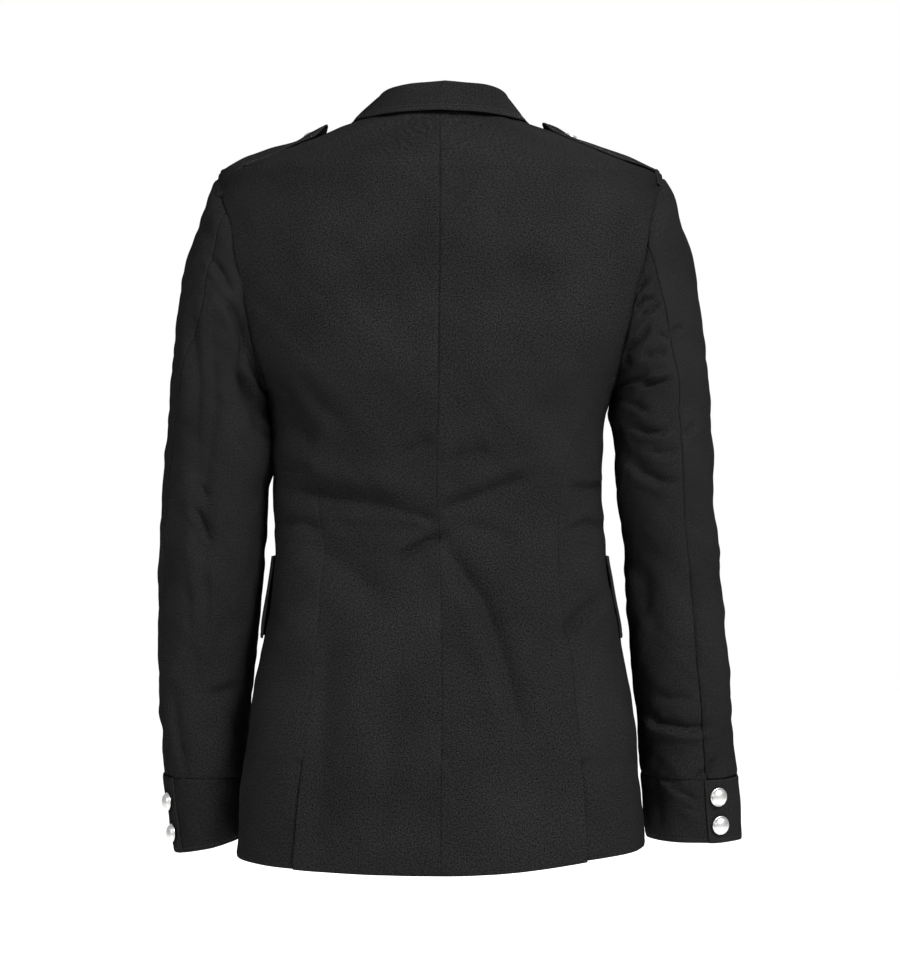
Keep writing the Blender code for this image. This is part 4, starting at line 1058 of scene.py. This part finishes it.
def shoulder_height(side, x, y):
    """Height of the coat over a level place on the shoulder: on the body or on the sleeve head."""
    def in_body(height):
        squareness = body_size("squareness", height)
        depth = np.where(y > 0.0, body_size("back_depth", height), body_size("front_depth", height))
        width = body_size("half_width", height)
        return (np.abs(x) / width) ** squareness + (np.abs(y) / depth) ** squareness <= 1.0

    def in_sleeve(height):
        middle_x, middle_y, half_width, half_depth = sleeve_ring(side, height)
        across, deep = np.abs((x - middle_x) / half_width), np.abs((y - middle_y) / half_depth)
        return across ** sleeve_squareness + deep ** sleeve_squareness <= 1.0

    bottom = np.full_like(x, -0.15)
    on_body = last_place(bottom, np.zeros_like(x), in_body)
    on_sleeve = last_place(bottom, np.full_like(x, sleeve_head_top), in_sleeve)
    return np.maximum(on_body, on_sleeve)


def strap_form(side, share, across):
    """Places on a shoulder strap: share runs from the sleeve seam to the tip."""
    tip_shape = strap_point * (1.0 - np.abs(across) ** 1.6)
    x = blend(strap_base_x, strap_tip_x[side] + strap_point - tip_shape, share)
    back_edge, front_edge, lift = (follow(strap_columns, strap_rows[side], column, share)
                                   for column in strap_columns[1:])
    y = blend(front_edge, back_edge, (across + 1.0) / 2.0)
    height = shoulder_height(side, x, y)
    step = 0.002
    slope, pitch = (np.clip((shoulder_height(side, *beside) - height) / step, -1.5, 1.5)
                    for beside in ((x, y + step), (x - step, y)))
    cupped = 0.85 * bump(across - strap_button_across, 0.32) * ease((share - 0.6) / 0.2)
    lift = lift * (1.0 - ease(across * 1.1 + 0.1)) * (1.0 - cupped)
    height = height + strap_lift * np.sqrt(1.0 + slope ** 2 + pitch ** 2) + lift
    return np.stack((x * sides[side], y, height), axis=-1)


def tab_relief(places, edge, inset, wave_size, wave, turned):
    """Stitched and pressed edges and a slight wave of a doubled tab of cloth."""
    out = stitch_groove(edge, inset) + seam_roll(edge, 0.0006, 0.0013)
    return out + unevenness(places, wave_size, wave, turned)


for side in sides:
    across, share = np.meshgrid(2.0 * shares(44, 0.5) - 1.0, shares(90, 0.4))
    places = strap_form(side, share, across)

    def strap_relief(places, normals, start, end, low, high):
        """Edges on three sides, as the fourth lies in the sleeve seam."""
        edge = np.minimum(np.minimum(start, end), high)
        return tab_relief(places, edge, strap_stitch_inset, 0.05, 0.0004, 1.5)

    straps[side] = cut_piece("shoulder_strap_" + side, places, (0.0, 0.0, 1.0), strap_relief, (0, 1, 3))
    cloth_facts(straps[side][0], "epaulette_" + side)

# Hip pocket flaps: doubled and lined, and hung from the pocket seam, so that they stand off the skirt a
# little below.  They are stitched 5 mm in along both ends and the lower edge.
flap_top = -0.4230
flap_bottom = -0.5000
flap_turns = (80.0, 141.0)
flap_top_lift = cloth_thickness + 0.0008
flap_bottom_lift = 0.0090
flap_stitch_inset = 0.0050
flaps = {}


def body_level(turn, height):
    """Outward level direction of the body's form."""
    run = body_form(turn + 0.5, height) - body_form(turn - 0.5, height)
    level = unit(np.cross(run, (0.0, 0.0, 1.0)))
    away = body_form(turn, height) * np.array((1.0, 1.0, 0.0))
    return level * np.sign(np.sum(level * away, axis=-1, keepdims=True))


for side in sides:
    u, v = np.meshgrid(shares(56, 0.5), shares(40, 0.5))
    height = blend(flap_bottom, flap_top, v)
    turn = blend(flap_turns[0], flap_turns[1], u) * sides[side]
    lift = blend(flap_bottom_lift, flap_top_lift, v ** 1.3)
    level = body_level(turn, height)
    under = body_form(turn, height)
    low_place = under + level * lift[..., None]
    top_place = body_form(turn, flap_top) + body_level(turn, flap_top) * lift[..., None]
    top_place[..., 2] = height
    places = blend(low_place, top_place, 0.4)
    clearance = np.sum((places - under) * level, axis=-1)
    places = places + level * np.maximum(flap_top_lift - clearance, 0.0)[..., None]

    def flap_relief(places, normals, start, end, low, high):
        """Edges on three sides, and a lower edge that curls towards the skirt."""
        edge = np.minimum(np.minimum(start, end), low)
        wave = 0.0007 * ease(high / 0.01)
        return tab_relief(places, edge, flap_stitch_inset, 0.07, wave, 0.5) - 0.0012 * bump(low, 0.012)

    flaps[side] = cut_piece("hip_flap_piece_" + side, places, level, flap_relief, (0, 1, 2))
    cloth_facts(flaps[side][0], "hip_flap_" + side)

# Topstitching: black polyester thread in a lockstitch, sewn along the edges of the front, lapels, collar,
# straps, flaps and cuffs.  Real stitches are 2.5 mm long and 0.3 mm thick.
stitch_length = 0.0025
stitch_gap = 0.0007
stitch_width = 0.00024
stitch_rise = 0.00005


def black_thread():
    """Black polyester thread: smooth and a little shiny, so that a row of it shows on the dull cloth."""
    material, tree, shader = new_material("black_polyester_thread")
    place = add(tree, "ShaderNodeTexCoord").outputs["Object"]
    strand = add(tree, "ShaderNodeTexNoise", {"Scale": 1.0 / 0.0012, "Detail": 1.0}, Vector=place)
    tone = add(tree, "ShaderNodeMix", {"data_type": "RGBA", 6: from_hex("#0e0e0e"), 7: from_hex("#1c1c1c")},
               Factor=strand.outputs["Fac"])
    wire(tree, shader, {"Roughness": 0.60, "Specular IOR Level": 0.15}, Base_Color=tone.outputs[2])
    return material


thread = black_thread()


def value_along(line, gone, at):
    """The value of a line of vectors at a distance along it."""
    return np.array([np.interp(at, gone, line[:, k]) for k in range(3)])


def rows_of_stitches(name, lines):
    """Lay stitches end to end along lines, each given as places and the cloth's normals under them."""
    mesh = bmesh.new()
    size = Matrix.Diagonal((stitch_length / 2.0, stitch_width, stitch_width * 0.9, 1.0))
    for places, normals in lines:
        gone = np.concatenate(([0.0], np.cumsum(np.linalg.norm(np.diff(places, axis=0), axis=1))))
        for number in range(int(gone[-1] / (stitch_length + stitch_gap))):
            start = number * (stitch_length + stitch_gap)
            first, last = (value_along(places, gone, at) for at in (start, start + stitch_length))
            run = Vector(last - first).normalized()
            across = run.cross(Vector(value_along(normals, gone, start))).normalized()
            rise = across.cross(run)
            turn = Matrix((run, across, rise)).transposed().to_4x4()
            middle = Vector((first + last) / 2.0) + rise * stitch_rise
            bmesh.ops.create_uvsphere(mesh, u_segments=6, v_segments=4, radius=1.0,
                                      matrix=Matrix.Translation(middle) @ turn @ size)
    row = make_object(mesh, name, thread)
    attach(row, "root")


def line_on(piece, inset, edges):
    """Lines that run along edges of a piece at an inset: edges are start, end, low and high."""
    _, places, normals = piece
    fields = dict(zip(("start", "end", "low", "high"), edge_distances(places)))
    lines = []
    for edge in edges:
        beside = ("low", "high") if edge in ("start", "end") else ("start", "end")
        grids = [fields[edge], fields[beside[0]], fields[beside[1]], places, normals]
        if edge in ("low", "high"):
            grids = [grid.swapaxes(0, 1) for grid in grids]
        from_far_end = edge in ("end", "high")
        picked = []
        for distance, first, last, line, line_normals in zip(*grids):
            cells = np.arange(len(distance))
            at = np.interp(inset, distance[::-1] if from_far_end else distance, cells)
            at = cells[-1] - at if from_far_end else at
            cell = min(int(at), len(distance) - 2)
            if min(first[cell], last[cell]) >= inset * 0.95:
                picked.append([blend(row[cell], row[cell + 1], at - cell) for row in (line, line_normals)])
        if len(picked) > 2:
            lines.append(np.array(picked).swapaxes(0, 1))
    return lines


rows_of_stitches("collar_topstitching",
                 [line for inset in collar_stitch_insets for line in line_on(collar, inset, ("high",))])
for side in sides:
    for name, piece, inset, edges in (
        ("strap", straps[side], strap_stitch_inset, ("start", "end", "high")),
        ("flap", flaps[side], flap_stitch_inset, ("start", "end", "low")),
        ("cuff", cuffs[side], cuff_stitch_inset, ("end", "low")),
        ("lapel", lapels[side], lapel_stitch_inset, ("end", "high")),
    ):
        rows_of_stitches(name + "_topstitching_" + side, line_on(piece, inset, edges))
edge_places, edge_normals = line_on(fronts["left"], front_stitch_inset, ("end",))[0]
shown = edge_places[:, 2] < break_height - 0.004
rows_of_stitches("front_edge_topstitching", [(edge_places[shown], edge_normals[shown])])

# Buttons: plain domes, stamped from brass sheet and plated a satin silver, with a rolled rim and a wire
# shank.  There are four down the front, two on each cuff and a smaller one on each shoulder strap.
button_radius = 0.0090
button_height = 0.0062
strap_button_radius = 0.0078
strap_button_height = button_height * 0.85
shank_gap = 0.0004
front_button_x = 0.0005
front_button_heights = (-0.3300, -0.4080, -0.4860, -0.5640)
cuff_button_heights = {"left": (-0.6620, -0.6930), "right": (-0.6540, -0.6815)}
cuff_button_inset = 14.0


def satin_silver():
    """Silver plate, barrel-polished to a satin: bright, soft-edged reflections with faint scratches."""
    material, tree, shader = new_material("satin_silver_plate")
    place = add(tree, "ShaderNodeTexCoord").outputs["Object"]
    cloud = add(tree, "ShaderNodeTexNoise", {"Scale": 1.0 / 0.004, "Detail": 3.0}, Vector=place)
    fine = add(tree, "ShaderNodeTexNoise", {"Scale": 1.0 / 0.0006, "Detail": 2.0}, Vector=place)
    tone = add(tree, "ShaderNodeMix", {"data_type": "RGBA", 6: from_hex("#8c8c8b"), 7: from_hex("#b0b0ae")},
               Factor=cloud.outputs["Fac"])
    rough = add(tree, "ShaderNodeMapRange", {"To Min": 0.30, "To Max": 0.46}, Value=fine.outputs["Fac"])
    dents = add(tree, "ShaderNodeBump", {"Strength": 0.15, "Distance": 0.0001}, Height=cloud.outputs["Fac"])
    wire(tree, shader, {"Metallic": 1.0}, Base_Color=tone.outputs[2], Roughness=rough.outputs["Result"],
         Normal=dents.outputs["Normal"])
    return material


silver = satin_silver()


def domed_button(name, node, foot, normal, radius, height):
    """Spin a dome with a rolled rim and a flat back, and set it on the cloth."""
    outline = [(0.0, height)]
    for step in range(1, 11):
        angle = math.radians(8.4 * step)
        outline.append((radius * 0.93 * math.sin(angle), height * (0.24 + 0.76 * math.cos(angle))))
    for step in range(0, 7):
        angle = math.radians(70.0 - 42.0 * step)
        outline.append((radius * (0.93 + 0.07 * math.cos(angle)), height * (0.20 + 0.12 * math.sin(angle))))
    outline += [(radius * 0.84, 0.0004), (radius * 0.30, 0.0002), (0.0, 0.0002)]
    mesh = bmesh.new()
    ring = [mesh.verts.new((x, 0.0, z)) for x, z in outline]
    edges = [mesh.edges.new(pair) for pair in zip(ring[:-1], ring[1:])]
    bmesh.ops.spin(mesh, geom=ring + edges, cent=(0, 0, 0), axis=(0, 0, 1), angle=math.tau, steps=36,
                   use_merge=True)
    bmesh.ops.remove_doubles(mesh, verts=mesh.verts, dist=0.00001)
    bmesh.ops.recalc_face_normals(mesh, faces=mesh.faces)
    turn = Vector(normal).to_track_quat("Z", "Y").to_matrix().to_4x4()
    bmesh.ops.transform(mesh, verts=mesh.verts, matrix=Matrix.Translation(Vector(foot)) @ turn)
    button = make_object(mesh, name, silver)
    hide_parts(node)
    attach(button, "root")


def facing_normal(foot, places, outward):
    """Unit normal of a surface at a foot from two places near it, on the outward side."""
    normal = unit(np.cross(places[0] - foot, places[1] - foot))
    return normal * np.sign(np.dot(normal, outward))


for side in sides:
    share = np.array((strap_base_x - strap_button_x) / (strap_base_x - strap_tip_x[side]))
    across = np.array(strap_button_across)
    foot = strap_form(side, share, across)
    beside = strap_form(side, share + 0.02, across), strap_form(side, share, across + 0.05)
    normal = facing_normal(foot, beside, (0.0, 0.0, 1.0))
    domed_button("strap_button_" + side, "shoulder_button_" + side, foot + normal * shank_gap, normal,
                 strap_button_radius, strap_button_height)
    for place, height in zip(("upper", "lower"), cuff_button_heights[side]):
        turn = np.array(cuff_edge_turn[side] - cuff_button_inset)
        foot, normal = cuff_form(side, turn, np.array(height), np.array(layer + 0.0006))
        domed_button("wrist_button_" + side + "_" + place, "cuff_button_" + side + "_" + place,
                     foot + normal * shank_gap, normal, button_radius, button_height)


def left_front_at(across_x, height):
    """A place on the left front at a distance from the middle."""
    height = np.array(height)
    return front_form("left", front_turn(np.array(across_x), height), height)


for number, height in enumerate(front_button_heights, start=1):
    foot = left_front_at(front_button_x, height)
    beside = left_front_at(front_button_x + 0.004, height), left_front_at(front_button_x, height + 0.002)
    normal = facing_normal(foot, beside, (0.0, -1.0, 0.0))
    domed_button("coat_button_" + str(number), "front_button_" + str(number), foot + normal * 2.0 * shank_gap,
                 normal, button_radius, button_height)

# Setting: a plain pale floor well below the hanging coat, a white surround and soft lamps.  The camera stands
# level behind the back, two metres away, and a pixel of the picture is 0.97 mm at the coat's middle.
floor_height = -1.45
camera_distance = 2.0
camera_sensor = 36.0
picture_width = 900 * 0.00097
coat_middle = (0.0, 0.0, -0.35)


def white_paint():
    """Matt white wall paint, rolled on: hardly any sheen, with a faint cloudiness from the roller."""
    material, tree, shader = new_material("white_matt_paint")
    grain = add(tree, "ShaderNodeTexNoise", {"Scale": 3.0},
                Vector=add(tree, "ShaderNodeTexCoord").outputs["Object"])
    wash = add(tree, "ShaderNodeMix", {"data_type": "RGBA", 6: from_hex("#fbfbfb"), 7: from_hex("#ffffff")},
               Factor=grain.outputs["Fac"])
    wire(tree, shader, {"Roughness": 0.9}, Base_Color=wash.outputs[2])
    return material


mesh = bmesh.new()
bmesh.ops.create_circle(mesh, cap_ends=True, segments=64, radius=9.0)
bmesh.ops.translate(mesh, verts=mesh.verts, vec=(0.0, 0.0, floor_height))
make_object(mesh, "studio_floor", white_paint())

world = bpy.data.worlds.new("white_surround")
world.use_nodes = True
wire(world.node_tree, world.node_tree.nodes["Background"], {"Color": (1.0, 1.0, 1.0, 1.0), "Strength": 1.0})
bpy.context.scene.world = world
bpy.context.scene.view_settings.view_transform = "Standard"


def soft_lamp(name, place, size, power):
    """A square soft lamp that looks at the middle of the coat."""
    light = bpy.data.lights.new(name, "AREA")
    light.shape = "SQUARE"
    light.size = size
    light.energy = power
    lamp = bpy.data.objects.new(name, light)
    bpy.context.scene.collection.objects.link(lamp)
    lamp.location = place
    lamp.rotation_euler = (Vector(coat_middle) - Vector(place)).to_track_quat("-Z", "Y").to_euler()


soft_lamp("key_lamp", (-1.4, 2.0, 1.45), 0.8, 260.0)
soft_lamp("fill_lamp", (2.2, 2.0, 0.6), 1.2, 50.0)
soft_lamp("front_lamp", (-0.6, -2.3, 1.9), 1.4, 240.0)

camera_data = bpy.data.cameras.new("camera")
camera_data.sensor_width = camera_sensor
camera_data.sensor_fit = "HORIZONTAL"
camera_data.lens = camera_sensor * camera_distance / picture_width
camera = bpy.data.objects.new("camera", camera_data)
bpy.context.scene.collection.objects.link(camera)
camera.location = (-0.0097, camera_distance, -0.349)
camera.rotation_euler = (math.radians(90.0), 0.0, math.radians(180.0))
bpy.context.scene.camera = camera
